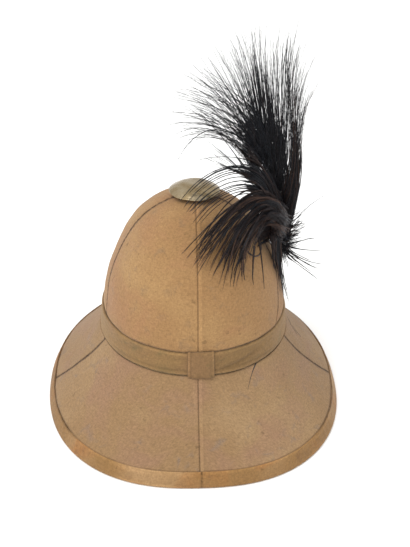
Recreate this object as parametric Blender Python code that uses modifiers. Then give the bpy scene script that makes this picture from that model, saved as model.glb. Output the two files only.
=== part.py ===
"""A cloth-covered pith helmet with a cock-feather plume, at its real size.

The hat rests on its rim. The floor is z = 0, the rear of the hat faces -Y and the
wearer's right, where the plume sits, is +X. Lengths are in metres.
"""

import math

import bmesh
import bpy
import numpy as np
from mathutils import Vector

MM = 0.001

# Crown: a dome on an elliptical plan, upright over the middle of the rim
CROWN_HALF_WIDTH = 88.8 * MM
CROWN_HALF_LENGTH = 104.0 * MM
CROWN_TOP = 204.0 * MM
CROWN_UPRIGHT_HEIGHT = 66.0 * MM
CROWN_ROUND_ACROSS = 2.17
CROWN_ROUND_UP = 2.04
VENT_HOLE_RADIUS = 7.5 * MM

# Band: its upper edge, level at the rear and a little lower at sides and front
BAND_TOP_REAR = 97.5 * MM
BAND_TOP_SIDE = 92.5 * MM
BAND_TOP_FRONT = 92.5 * MM
BAND_HEIGHT = 21.5 * MM
BAND_LEAN = 3.5 * MM
BAND_PROUD = 1.2 * MM

# Brim: it flares from the band to a crease, and below the crease turns down to the rim
RIM_HALF_WIDTH = 144.3 * MM
RIM_HALF_LENGTH = 167.5 * MM
RIM_SQUARENESS_REAR = 2.4
RIM_SQUARENESS_FRONT = 2.0
EDGE_RUN_OUT = 6.3 * MM
EDGE_DROP = 13.6 * MM
BRIM_HOLLOW = 0.35

# Walls and the small gaps between pieces
CLOTH = 1.0 * MM
BODY_WALL = 4.5 * MM
BINDING_CLOTH = 1.5 * MM
BINDING_PROUD = 0.5 * MM
BINDING_INNER_START = 4.5 * MM
BINDING_ROUND = 1.8 * MM
LAYER_GAP = 0.5 * MM
SEAM_GAP = 0.4 * MM
SEAT_GAP = 0.3 * MM
BAND_EDGE_GAP = 0.7 * MM

# Band loop at the rear, turned a little to the right, in degrees
LOOP_WIDTH = 24.4 * MM
LOOP_TURN = 1.4
LOOP_CLOTH = 1.2 * MM
LOOP_OVERHANG = 1.6 * MM
LOOP_FOOT = 1.1 * MM

# Seams, in degrees from the rear centre; the crown's two drift most near the band
CROWN_SEAM_LEFT_TOP = 85.0
CROWN_SEAM_LEFT_BASE = 69.0
CROWN_SEAM_RIGHT_TOP = 77.0
CROWN_SEAM_RIGHT_BASE = 53.0
CROWN_SEAM_DRIFT = 5.0
BRIM_SEAM_TOP = 66.0
BRIM_SEAM_EDGE = 81.0
BRIM_SEAM_DRIFT = 1.0

# Ventilator
CAP_RADIUS = 23.0 * MM
CAP_RISE = 6.5 * MM
CAP_WALL = 1.2 * MM
CAP_RIM_HEIGHT = 206.6 * MM
COLLAR_RADIUS = 13.0 * MM
COLLAR_NECK_CLEARANCE = 0.5 * MM
COLLAR_WALL = 1.0 * MM
COLLAR_NECK_LENGTH = 8.0 * MM

# Plume and its socket on the right of the crown
SOCKET_HEIGHT = 138.0 * MM
SOCKET_LENGTH = 6.0 * MM
SOCKET_FOOT_RADIUS = 5.0 * MM
SOCKET_TOP_RADIUS = 3.8 * MM
PLUME_HEAD_RADIUS = 6.5 * MM
PLUME_HEAD_LENGTH = 11.0 * MM
PLUME_REACH = 115.0 * MM
PLUME_DEPTH = 84.0 * MM
PLUME_HEIGHT = 210.0 * MM
LOCK_WIDTH = 34.0 * MM

# Steps of the surfaces
COLUMNS = 50
CROWN_ROWS = 8
BRIM_ROWS = 5
LOCK_RINGS = 7

REAR = -90.0
FRONT = 90.0
STATION_STEP = 0.002
ANGLE_STEP = 0.002

# Stations along the outline from the vent hole down to the rim
AT_HOLE, AT_BAND_TOP, AT_BAND_BOTTOM, AT_CREASE, AT_RIM = 0.0, 1.0, 2.0, 3.0, 4.0
BODY_JOINT = 1.5

# Locks of the plume. Each one leaves the head, passes a middle point and ends at a tip.
# Points are shares of the reach (x), the depth (y) and the height (z) from the head,
# and the width is a share of the widest lock's.
LOCK_COLUMNS = ("middle_x", "middle_y", "middle_z", "tip_x", "tip_y", "tip_z", "width")
LOCKS = (
    (-0.16, 0.00, 0.44, -0.25, 0.00, 0.89, 1.00),
    (-0.03, 0.07, 0.41, -0.12, 0.06, 0.75, 0.94),
    (-0.27, -0.07, 0.43, -0.31, -0.05, 0.81, 0.94),
    (-0.12, 0.19, 0.37, -0.16, 0.17, 0.68, 0.82),
    (-0.25, 0.00, 0.49, -0.21, 0.00, 0.98, 0.38),
    (-0.11, 0.02, 0.51, -0.09, 0.00, 1.00, 0.38),
    (0.00, 0.07, 0.49, 0.02, 0.06, 0.99, 0.32),
    (0.07, 0.07, 0.39, 0.28, 0.06, 0.80, 0.32),
    (-0.24, 0.00, 0.48, -0.55, 0.00, 0.97, 0.44),
    (-0.32, -0.02, 0.47, -0.77, 0.00, 0.83, 0.56),
    (-0.40, -0.05, 0.49, -1.00, 0.00, 0.66, 0.56),
    (-0.38, -0.17, 0.42, -0.94, -0.24, 0.55, 0.56),
    (-0.36, -0.26, 0.40, -0.80, -0.50, 0.39, 0.71),
    (-0.32, -0.27, 0.37, -0.78, -0.80, 0.20, 0.79),
    (-0.29, -0.31, 0.35, -0.68, -0.91, 0.16, 0.85),
    (-0.24, -0.31, 0.33, -0.58, -1.00, 0.11, 0.85),
    (-0.20, -0.29, 0.30, -0.44, -0.99, 0.07, 0.79),
    (-0.13, -0.27, 0.25, -0.27, -0.89, 0.01, 0.56),
    (0.20, 0.00, 0.05, 0.43, 0.00, -0.12, 0.32),
    (0.16, -0.03, 0.06, 0.29, -0.06, 0.04, 0.38),
    (0.12, 0.05, 0.09, 0.20, 0.06, 0.13, 0.44),
    (0.09, -0.06, -0.01, 0.15, -0.10, -0.08, 0.26),
)
LOCK_TIP_SHARE = 0.22
LOCK_ROOT_SHARE = 0.34

CLOTH_COLOUR = (0.46, 0.31, 0.17, 1.0)
BAND_COLOUR = (0.31, 0.19, 0.09, 1.0)
BINDING_COLOUR = (0.42, 0.25, 0.12, 1.0)
PITH_COLOUR = (0.55, 0.43, 0.28, 1.0)
METAL_COLOUR = (0.33, 0.30, 0.23, 1.0)
PLUME_COLOUR = (0.012, 0.009, 0.008, 1.0)


def clear_scene():
    """Remove every object that is in the file."""
    for thing in list(bpy.data.objects):
        bpy.data.objects.remove(thing, do_unlink=True)


def new_collection(name):
    """Make a collection and link it to the scene."""
    collection = bpy.data.collections.new(name)
    bpy.context.scene.collection.children.link(collection)
    return collection


def finish(name, colour, roughness, metallic=0.0):
    """Make a plain material of one colour."""
    material = bpy.data.materials.new(name)
    material.use_nodes = True
    shader = material.node_tree.nodes["Principled BSDF"]
    shader.inputs["Base Color"].default_value = colour
    shader.inputs["Roughness"].default_value = roughness
    shader.inputs["Metallic"].default_value = metallic
    return material


def plan_radius(angle, half_width, half_length, power):
    """Distance from the axis to a superellipse in the direction of an angle."""
    across = np.abs(np.cos(angle)) / half_width
    along = np.abs(np.sin(angle)) / half_length
    return (across ** power + along ** power) ** (-1.0 / power)


def crown_plan(angle):
    """Radius of the crown where its wall is upright."""
    return plan_radius(angle, CROWN_HALF_WIDTH, CROWN_HALF_LENGTH, 2.0)


def band_top(angle):
    """Height of the band's upper edge, from the side height to the rear or front height."""
    end = np.where(np.sin(angle) < 0, BAND_TOP_REAR, BAND_TOP_FRONT)
    return BAND_TOP_SIDE + (end - BAND_TOP_SIDE) * np.sin(angle) ** 2


def crown_outline(angle, share):
    """Radius and height on the crown, from the vent hole (0) to the band (1)."""
    rise = (band_top(angle) - CROWN_UPRIGHT_HEIGHT) / (CROWN_TOP - CROWN_UPRIGHT_HEIGHT)
    low = np.arcsin(rise ** (CROWN_ROUND_UP / 2))
    high = np.arccos((VENT_HOLE_RADIUS / crown_plan(angle)) ** (CROWN_ROUND_ACROSS / 2))
    turn = high + (low - high) * share
    radius = crown_plan(angle) * np.cos(turn) ** (2 / CROWN_ROUND_ACROSS)
    climb = np.sin(turn) ** (2 / CROWN_ROUND_UP)
    return radius, CROWN_UPRIGHT_HEIGHT + (CROWN_TOP - CROWN_UPRIGHT_HEIGHT) * climb


def band_outline(angle, share):
    """Radius and height behind the band, from its upper edge (0) to its lower edge (1)."""
    radius, height = crown_outline(angle, 1.0)
    return radius + BAND_LEAN * share, height - BAND_HEIGHT * share


def rim_radius(angle):
    """Radius of the rim under the binding's cloth."""
    width, length = RIM_HALF_WIDTH - BINDING_PROUD, RIM_HALF_LENGTH - BINDING_PROUD
    power = np.where(np.sin(angle) < 0, RIM_SQUARENESS_REAR, RIM_SQUARENESS_FRONT)
    return plan_radius(angle, width, length, power)


def brim_outline(angle, share):
    """Radius and height on the brim, steep at the band (0) and flatter at the crease (1)."""
    radius, height = band_outline(angle, 1.0)
    run = rim_radius(angle) - EDGE_RUN_OUT - radius
    spread = share * (1 - BRIM_HOLLOW) + BRIM_HOLLOW * share ** 2
    return radius + run * spread, height + (EDGE_DROP - height) * share


def edge_outline(angle, share):
    """Radius and height on the turned-down edge, from the crease (0) to the rim (1)."""
    return rim_radius(angle) - EDGE_RUN_OUT * (1 - share), EDGE_DROP * (1 - share) + 0 * angle


def hat_point(angle, station):
    """Point of the cloth surface at an angle and a station between the hole and the rim."""
    angle, station = np.broadcast_arrays(np.asarray(angle, float), np.asarray(station, float))
    radius, height = edge_outline(angle, station - AT_CREASE)
    for outline, start in ((brim_outline, AT_BAND_BOTTOM), (band_outline, AT_BAND_TOP),
                           (crown_outline, AT_HOLE)):
        share = np.clip(station - start, 0.0, 1.0)
        here_radius, here_height = outline(angle, share)
        radius = np.where(station <= start + 1, here_radius, radius)
        height = np.where(station <= start + 1, here_height, height)
    return np.stack([radius * np.cos(angle), radius * np.sin(angle), height], axis=-1)


def outward(angle, station):
    """Unit normal of the cloth surface, pointing away from the head."""
    low = np.maximum(station - STATION_STEP, AT_HOLE)
    high = np.minimum(station + STATION_STEP, AT_RIM)
    down = hat_point(angle, high) - hat_point(angle, low)
    around = hat_point(angle + ANGLE_STEP, station) - hat_point(angle - ANGLE_STEP, station)
    normal = np.cross(down, around)
    return normal / np.linalg.norm(normal, axis=-1, keepdims=True)


def offset_point(angle, station, distance):
    """Point a distance outward from the cloth surface."""
    return hat_point(angle, station) + outward(angle, station) * distance


def grid_object(name, points, closed, collection, material):
    """Make an open surface from a grid of points: rows run down, columns run around."""
    rows, columns = points.shape[:2]
    corner = np.arange(rows * columns).reshape(rows, columns)
    right = np.roll(corner, -1, axis=1)
    if not closed:
        corner, right = corner[:, :-1], right[:, :-1]
    faces = np.stack([corner[:-1], corner[1:], right[1:], right[:-1]], axis=-1).reshape(-1, 4)
    mesh = bpy.data.meshes.new(name)
    mesh.from_pydata(points.reshape(-1, 3).tolist(), [], faces.tolist())
    mesh.materials.append(material)
    mesh.shade_smooth()
    thing = bpy.data.objects.new(name, mesh)
    collection.objects.link(thing)
    return thing


def thicken(thing, wall):
    """Give an open surface a wall on its inner side."""
    solidify = thing.modifiers.new("wall", "SOLIDIFY")
    solidify.thickness = wall
    solidify.offset = -1.0
    solidify.use_even_offset = True


def ring_angles():
    """Angles of the columns of a ring that goes all round."""
    return np.linspace(0.0, 2 * math.pi, COLUMNS, endpoint=False)[None, :]


def ring_wall(name, stations, distance, wall, collection, material):
    """Make a wall that goes all round, its outer face at a distance from the cloth surface."""
    points = offset_point(ring_angles(), np.asarray(stations)[:, None], distance)
    thing = grid_object(name, points, True, collection, material)
    thicken(thing, wall)
    return thing


def side_seam(station, top, base, first, drift):
    """Angle in degrees from the rear centre of a side seam that drifts down the hat."""
    return top + (base - top) * (station - first) ** drift


def cloth_panel(name, stations, start, end, columns, collection, material):
    """Make a cloth panel between two seams, given as an angle in degrees for each station."""
    stations = np.asarray(stations)
    start, end = (np.radians(np.broadcast_to(seam, stations.shape)) for seam in (start, end))
    radius = np.linalg.norm(hat_point(start, stations)[:, :2], axis=-1)
    half_gap = SEAM_GAP / 2 / radius
    share = np.linspace(0.0, 1.0, columns + 1)[None, :]
    low, high = (start + half_gap)[:, None], (end - half_gap)[:, None]
    points = hat_point(low + (high - low) * share, stations[:, None])
    thing = grid_object(name, points, False, collection, material)
    thicken(thing, CLOTH)
    return thing


def make_bodies(collection, material):
    """Make the two stiff bodies under the cloth, which meet behind the band."""
    joint = SEAT_GAP / BAND_HEIGHT / 2
    under = -(CLOTH + LAYER_GAP)
    crown = list(np.linspace(AT_HOLE, AT_BAND_TOP, CROWN_ROWS + 1)) + [BODY_JOINT - joint]
    ring_wall("crown_body", crown, under, BODY_WALL, collection, material)
    slope = math.hypot(EDGE_RUN_OUT, EDGE_DROP)
    depth = (CLOTH + LAYER_GAP + BODY_WALL) * EDGE_RUN_OUT / slope
    clear = BINDING_CLOTH + LAYER_GAP
    end = AT_CREASE + (EDGE_DROP - depth - clear) / EDGE_DROP
    brim = [BODY_JOINT + joint] + list(np.linspace(AT_BAND_BOTTOM, AT_CREASE, BRIM_ROWS + 1)) + [end]
    ring_wall("brim_body", brim, under, BODY_WALL, collection, material)


def make_crown_panels(collection, material):
    """Make the four cloth panels of the crown."""
    stop = AT_BAND_TOP - SEAT_GAP / (CROWN_TOP - BAND_TOP_REAR)
    stations = np.linspace(AT_HOLE, stop, CROWN_ROWS + 1)
    left = side_seam(stations, CROWN_SEAM_LEFT_TOP, CROWN_SEAM_LEFT_BASE, AT_HOLE,
                     CROWN_SEAM_DRIFT)
    right = side_seam(stations, CROWN_SEAM_RIGHT_TOP, CROWN_SEAM_RIGHT_BASE, AT_HOLE,
                      CROWN_SEAM_DRIFT)
    rear, front = COLUMNS // 4 - 1, COLUMNS // 4 + 2
    cloth_panel("crown_panel_rear_right", stations, REAR, REAR + right, rear, collection,
                material)
    cloth_panel("crown_panel_front_right", stations, REAR + right, FRONT, front, collection,
                material)
    cloth_panel("crown_panel_front_left", stations, FRONT, 360 + REAR - left, front, collection,
                material)
    cloth_panel("crown_panel_rear_left", stations, 360 + REAR - left, 360 + REAR, rear, collection,
                material)


def make_brim_panels(collection, material):
    """Make the three cloth panels of the brim: two at the rear and one round the front."""
    run = RIM_HALF_WIDTH - CROWN_HALF_WIDTH
    start = AT_BAND_BOTTOM + BAND_EDGE_GAP / run
    stop = AT_CREASE - SEAT_GAP / run
    stations = np.linspace(start, stop, BRIM_ROWS + 1)
    seam = side_seam(stations, BRIM_SEAM_TOP, BRIM_SEAM_EDGE, AT_BAND_BOTTOM, BRIM_SEAM_DRIFT)
    rear, front = COLUMNS // 4 - 1, COLUMNS // 2 + 4
    cloth_panel("brim_panel_rear_right", stations, REAR, REAR + seam, rear, collection, material)
    cloth_panel("brim_panel_front", stations, REAR + seam, 360 + REAR - seam, front, collection,
                material)
    cloth_panel("brim_panel_rear_left", stations, 360 + REAR - seam, 360 + REAR, rear, collection,
                material)


def make_binding(collection, material):
    """Make the cloth binding, a strip folded round the rim with a flat underside."""
    angle = ring_angles()
    slope = math.hypot(EDGE_RUN_OUT, EDGE_DROP)
    along = np.array([EDGE_RUN_OUT, -EDGE_DROP]) / slope
    away = np.array([EDGE_DROP, EDGE_RUN_OUT]) / slope
    outer = BINDING_PROUD
    inner = -(CLOTH + LAYER_GAP + BODY_WALL + LAYER_GAP + BINDING_CLOTH)

    def at_distance(travel, offset):
        return travel * along + offset * away

    def at_height(height, offset):
        travel = (height - EDGE_DROP - offset * away[1]) / along[1]
        return at_distance(travel, offset)

    bottom_outer = at_height(0.0, outer) - np.array([BINDING_ROUND / 2, 0.0])
    path = (at_distance(SEAT_GAP, outer), at_height(BINDING_ROUND, outer), bottom_outer,
            at_height(0.0, inner), at_distance(BINDING_INNER_START, inner))
    rows = []
    for run, rise in path:
        radius = rim_radius(angle) - EDGE_RUN_OUT + run
        height = np.full_like(radius, EDGE_DROP + rise)
        rows.append(np.stack([radius * np.cos(angle), radius * np.sin(angle), height], axis=-1)[0])
    thing = grid_object("edge_binding", np.stack(rows), True, collection, material)
    thicken(thing, BINDING_CLOTH)


def make_band(collection, material):
    """Make the band of folded cloth that covers the joint of crown and brim."""
    stations = (AT_BAND_TOP, (AT_BAND_TOP + AT_BAND_BOTTOM) / 2, AT_BAND_BOTTOM)
    points = []
    for station in stations:
        share = station - AT_BAND_TOP
        radius, height = band_outline(ring_angles(), share)
        radius = radius + BAND_PROUD
        points.append(np.stack([radius * np.cos(ring_angles()), radius * np.sin(ring_angles()),
                                height], axis=-1)[0])
    thing = grid_object("band", np.stack(points), True, collection, material)
    thicken(thing, CLOTH + BAND_PROUD)


def make_loop(collection, material):
    """Make the cloth loop over the band at the rear centre."""
    face = BAND_PROUD + SEAT_GAP + LOOP_CLOTH
    path = ((-LOOP_OVERHANG, LOOP_FOOT), (-LOOP_OVERHANG, face),
            (BAND_HEIGHT + LOOP_OVERHANG, face), (BAND_HEIGHT + LOOP_OVERHANG, LOOP_FOOT))
    middle = math.radians(REAR + LOOP_TURN)
    half = LOOP_WIDTH / 2 / (CROWN_HALF_LENGTH + BAND_LEAN)
    angle = np.linspace(middle - half, middle + half, 5)
    rows = []
    for down, out in path:
        radius, height = band_outline(angle, down / BAND_HEIGHT)
        rows.append(np.stack([(radius + out) * np.cos(angle), (radius + out) * np.sin(angle),
                              height], axis=-1))
    thing = grid_object("band_loop", np.stack(rows), False, collection, material)
    thicken(thing, LOOP_CLOTH)


def turned(name, profile, closed, steps, collection, material):
    """Turn a profile of radius and height about the Z axis with a Screw modifier."""
    mesh = bpy.data.meshes.new(name)
    count = len(profile)
    edges = [(index, index + 1) for index in range(count - 1)]
    if closed:
        edges.append((count - 1, 0))
    mesh.from_pydata([(radius, 0.0, height) for radius, height in profile], edges, [])
    mesh.materials.append(material)
    thing = bpy.data.objects.new(name, mesh)
    collection.objects.link(thing)
    screw = thing.modifiers.new("turn", "SCREW")
    screw.steps = steps
    screw.render_steps = steps
    screw.use_merge_vertices = True
    screw.merge_threshold = 0.00001
    screw.use_smooth_shade = True
    return thing


def cap_height(radius):
    """Height of the cap's upper face at a radius: a shallow dome above its rim."""
    return CAP_RIM_HEIGHT + CAP_RISE * (1 - (radius / CAP_RADIUS) ** 2)


def collar_neck_radius():
    """Radius of the collar's neck, clear of the wall that leans in round the vent hole."""
    hole, edge = crown_outline(0.0, 0.0)
    outer, lower = crown_outline(0.0, 1.0 / CROWN_ROWS)
    lean = (edge - lower) / math.hypot(outer - hole, edge - lower)
    return float(hole - (CLOTH + LAYER_GAP + BODY_WALL) * lean - COLLAR_NECK_CLEARANCE)


def make_ventilator(collection, material):
    """Make the domed cap and the collar that carries it over the vent hole."""
    radii = np.linspace(0.0, 1.0, 7) * CAP_RADIUS
    outside = [(radius, cap_height(radius) + CAP_WALL) for radius in radii]
    inside = [(radius, cap_height(radius)) for radius in radii[::-1] if radius < CAP_RADIUS]
    edge = [(CAP_RADIUS, CAP_RIM_HEIGHT)]
    turned("ventilator_cap", outside + edge + inside, False, 36, collection, material)
    foot = float(crown_outline(0.0, 0.0)[1]) + SEAT_GAP
    neck_end = foot - COLLAR_NECK_LENGTH
    neck = collar_neck_radius()
    bore = neck - COLLAR_WALL
    profile = [
        (bore, cap_height(COLLAR_RADIUS) - SEAT_GAP),
        (COLLAR_RADIUS, cap_height(COLLAR_RADIUS) - SEAT_GAP),
        (COLLAR_RADIUS, foot),
        (neck, foot),
        (neck, neck_end),
        (bore, neck_end),
    ]
    turned("ventilator_collar", profile, True, 24, collection, material)


def socket_frame():
    """Foot and direction of the plume's socket on the right of the crown."""
    low, high = AT_HOLE, AT_BAND_TOP
    for _ in range(40):
        middle = (low + high) / 2
        if crown_outline(0.0, middle)[1] > SOCKET_HEIGHT:
            low = middle
        else:
            high = middle
    return Vector(hat_point(0.0, low)), Vector(outward(np.float64(0.0), np.float64(low)))


def make_socket(collection, material):
    """Make the small tapered post that holds the plume."""
    foot, direction = socket_frame()
    mesh = bpy.data.meshes.new("plume_socket")
    cage = bmesh.new()
    bmesh.ops.create_cone(cage, cap_ends=True, segments=16, radius1=SOCKET_FOOT_RADIUS,
                          radius2=SOCKET_TOP_RADIUS, depth=SOCKET_LENGTH)
    cage.to_mesh(mesh)
    cage.free()
    mesh.materials.append(material)
    mesh.shade_smooth()
    mesh.set_sharp_from_angle(angle=math.radians(40))
    thing = bpy.data.objects.new("plume_socket", mesh)
    thing.rotation_mode = "QUATERNION"
    thing.rotation_quaternion = direction.to_track_quat("Z", "Y")
    thing.location = foot + direction * (2 * SEAT_GAP + SOCKET_LENGTH / 2)
    collection.objects.link(thing)


def plume_head_centre():
    """Centre of the plume's head, on the socket's line."""
    foot, direction = socket_frame()
    size = Vector((PLUME_HEAD_RADIUS, PLUME_HEAD_RADIUS, PLUME_HEAD_LENGTH))
    reach = (direction * size).length
    return foot + direction * (3 * SEAT_GAP + SOCKET_LENGTH + reach)


def lock_point(row, share):
    """Point of a lock at a share of its length: a parabola through head, middle and tip."""
    lock = dict(zip(LOCK_COLUMNS, row))
    size = Vector((PLUME_REACH, PLUME_DEPTH, PLUME_HEIGHT))
    middle = Vector((lock["middle_x"], lock["middle_y"], lock["middle_z"])) * size
    tip = Vector((lock["tip_x"], lock["tip_y"], lock["tip_z"])) * size
    bend = 2 * middle - tip / 2
    return 2 * share * (1 - share) * bend + share ** 2 * tip


def lock_radius(row, share):
    """Half width of a lock: it swells from its root and thins to its tip."""
    half_width = dict(zip(LOCK_COLUMNS, row))["width"] * LOCK_WIDTH / 2
    start, end = LOCK_ROOT_SHARE, LOCK_TIP_SHARE
    swell = math.sin(math.pi * min(1.0, share * 1.1) ** 0.8)
    base = start + (end - start) * share
    return half_width * (base + (1 - base) * max(0.0, swell))


def make_lock(index, row, start, collection, material):
    """Make one lock as a closed mesh from a round curve of changing radius."""
    curve = bpy.data.curves.new(f"lock_{index:02d}", "CURVE")
    curve.dimensions = "3D"
    curve.bevel_depth = 1.0
    curve.bevel_resolution = 1
    curve.use_fill_caps = True
    spline = curve.splines.new("POLY")
    spline.points.add(LOCK_RINGS)
    for step, point in enumerate(spline.points):
        share = step / LOCK_RINGS
        point.co = (*(start + lock_point(row, share)), 1.0)
        point.radius = lock_radius(row, share)
    drawn = bpy.data.objects.new(curve.name, curve)
    collection.objects.link(drawn)
    graph = bpy.context.evaluated_depsgraph_get()
    mesh = bpy.data.meshes.new_from_object(drawn.evaluated_get(graph))
    cage = bmesh.new()
    cage.from_mesh(mesh)
    bmesh.ops.remove_doubles(cage, verts=cage.verts, dist=0.00001)
    cage.to_mesh(mesh)
    cage.free()
    mesh.materials.clear()
    mesh.materials.append(material)
    solid = bpy.data.objects.new(curve.name + "_solid", mesh)
    solid.matrix_world = drawn.matrix_world
    solid.hide_render = True
    solid.display_type = "WIRE"
    collection.objects.link(solid)
    bpy.data.objects.remove(drawn, do_unlink=True)


def make_plume(collection, locks, material):
    """Make the plume: a head with every lock joined to it."""
    centre = plume_head_centre()
    for index, row in enumerate(LOCKS):
        make_lock(index, row, centre, locks, material)
    mesh = bpy.data.meshes.new("plume")
    cage = bmesh.new()
    bmesh.ops.create_uvsphere(cage, u_segments=12, v_segments=8, radius=1.0)
    size = Vector((PLUME_HEAD_RADIUS, PLUME_HEAD_RADIUS, PLUME_HEAD_LENGTH))
    bmesh.ops.scale(cage, vec=size, verts=cage.verts)
    cage.to_mesh(mesh)
    cage.free()
    mesh.materials.append(material)
    mesh.shade_smooth()
    head = bpy.data.objects.new("plume", mesh)
    head.location = centre
    collection.objects.link(head)
    join = head.modifiers.new("locks", "BOOLEAN")
    join.operation = "UNION"
    join.solver = "EXACT"
    join.operand_type = "COLLECTION"
    join.collection = locks


def main():
    """Build the whole helmet."""
    clear_scene()
    helmet = new_collection("pith_helmet")
    locks = new_collection("plume_locks")
    cloth = finish("drill_cloth", CLOTH_COLOUR, 0.9)
    make_bodies(helmet, finish("pith", PITH_COLOUR, 0.95))
    make_crown_panels(helmet, cloth)
    make_brim_panels(helmet, cloth)
    make_binding(helmet, finish("binding_cloth", BINDING_COLOUR, 0.85))
    band_cloth = finish("band_cloth", BAND_COLOUR, 0.9)
    make_band(helmet, band_cloth)
    make_loop(helmet, band_cloth)
    metal = finish("vent_metal", METAL_COLOUR, 0.45, 1.0)
    make_ventilator(helmet, metal)
    make_socket(helmet, metal)
    make_plume(helmet, locks, finish("feathers", PLUME_COLOUR, 0.5))
    bpy.context.view_layer.update()


main()
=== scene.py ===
"""Looks of a cloth-covered pith helmet with a cock-feather plume.

The hat rests on its rim: the floor is z = 0, its rear faces -Y and the wearer's right is +X.
Lengths are in metres unless a name ends in _mm.
"""

import logging
import math
from collections.abc import Sequence
from dataclasses import dataclass
from enum import Enum

import bpy
import numpy as np
from mathutils import Matrix, Vector


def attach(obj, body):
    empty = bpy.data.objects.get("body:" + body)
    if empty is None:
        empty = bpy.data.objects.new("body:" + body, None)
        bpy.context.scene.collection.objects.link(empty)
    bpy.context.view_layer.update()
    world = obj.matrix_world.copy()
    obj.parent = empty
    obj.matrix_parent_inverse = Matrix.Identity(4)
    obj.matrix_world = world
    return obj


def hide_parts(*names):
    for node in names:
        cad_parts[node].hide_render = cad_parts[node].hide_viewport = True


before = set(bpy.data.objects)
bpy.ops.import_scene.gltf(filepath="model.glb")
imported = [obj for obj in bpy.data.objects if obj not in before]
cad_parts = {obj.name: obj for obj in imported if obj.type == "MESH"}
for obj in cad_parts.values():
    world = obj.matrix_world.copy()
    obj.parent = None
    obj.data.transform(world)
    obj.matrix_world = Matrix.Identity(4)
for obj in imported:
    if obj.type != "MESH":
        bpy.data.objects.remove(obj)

LOG = logging.getLogger("pith_helmet")
MM = 0.001
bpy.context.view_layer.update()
BODY = "root"
REAR = -90.0
FRONT = 90.0

Array = np.ndarray
Tree = bpy.types.NodeTree
Socket = bpy.types.NodeSocket
Piece = bpy.types.Object
Material = bpy.types.Material


class Slot(Enum):
    """Material slots of the record."""

    CLOTH = "cloth"
    BAND = "band_cloth"
    BINDING = "binding_cloth"
    PITH = "pith"
    METAL = "metal"
    FEATHERS = "feathers"


class Station(float, Enum):
    """Stations along the hat's outline, from the vent hole down to the rim."""

    HOLE = 0.0
    BAND_TOP = 1.0
    BAND_BOTTOM = 2.0
    CREASE = 3.0
    RIM = 4.0


def linear(code: str) -> tuple[float, float, float, float]:
    """Turn an sRGB hex colour into linear light.

    Args:
        code: six hex digits, with or without a leading hash sign.

    Returns:
        Linear red, green and blue, and an alpha of one.
    """
    digits = code.lstrip("#")
    parts = [int(digits[place:place + 2], 16) / 255 for place in (0, 2, 4)]
    light = [part / 12.92 if part <= 0.04045 else ((part + 0.055) / 1.055) ** 2.4 for part in parts]
    return (light[0], light[1], light[2], 1.0)


def smooth_step(value: Array) -> Array:
    """Ease from 0 to 1 with flat ends: 3 v^2 - 2 v^3, held outside the range."""
    held = np.clip(value, 0.0, 1.0)
    return held * held * (3 - 2 * held)


def peak(away: Array, width: float | Array) -> Array:
    """A bell of height 1 where away is 0: exp(-(away / width)^2)."""
    return np.exp(-(away / width) ** 2)


def polar(radius: Array, angle: Array, height: Array) -> Array:
    """Points at a distance from the upright axis, an angle in radians and a height."""
    places = np.broadcast_arrays(radius * np.cos(angle), radius * np.sin(angle), height)
    return np.stack(places, axis=-1)


def full_turn(columns: int) -> Array:
    """Evenly spaced angles once round the axis, in radians."""
    return np.linspace(0.0, 2 * math.pi, columns, endpoint=False)


def ripple(points: Array, wavelength: float, seed: int, waves: int = 10) -> Array:
    """Smooth noise in space: a sum of sine waves of one wavelength in random directions.

    Args:
        points: places, with x, y and z on the last axis.
        wavelength: distance between crests.
        seed: number that fixes the directions and phases.
        waves: how many waves are summed.

    Returns:
        Values of about -1 to 1, one for each place.
    """
    random = np.random.default_rng(seed)
    direction = random.normal(size=(waves, 3))
    direction /= np.linalg.norm(direction, axis=1, keepdims=True)
    pace = direction * (2 * math.pi / wavelength * random.uniform(0.7, 1.4, size=(waves, 1)))
    phase = random.uniform(0, 2 * math.pi, waves)
    return np.sin(points @ pace.T + phase).sum(axis=-1) / math.sqrt(waves)


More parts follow.
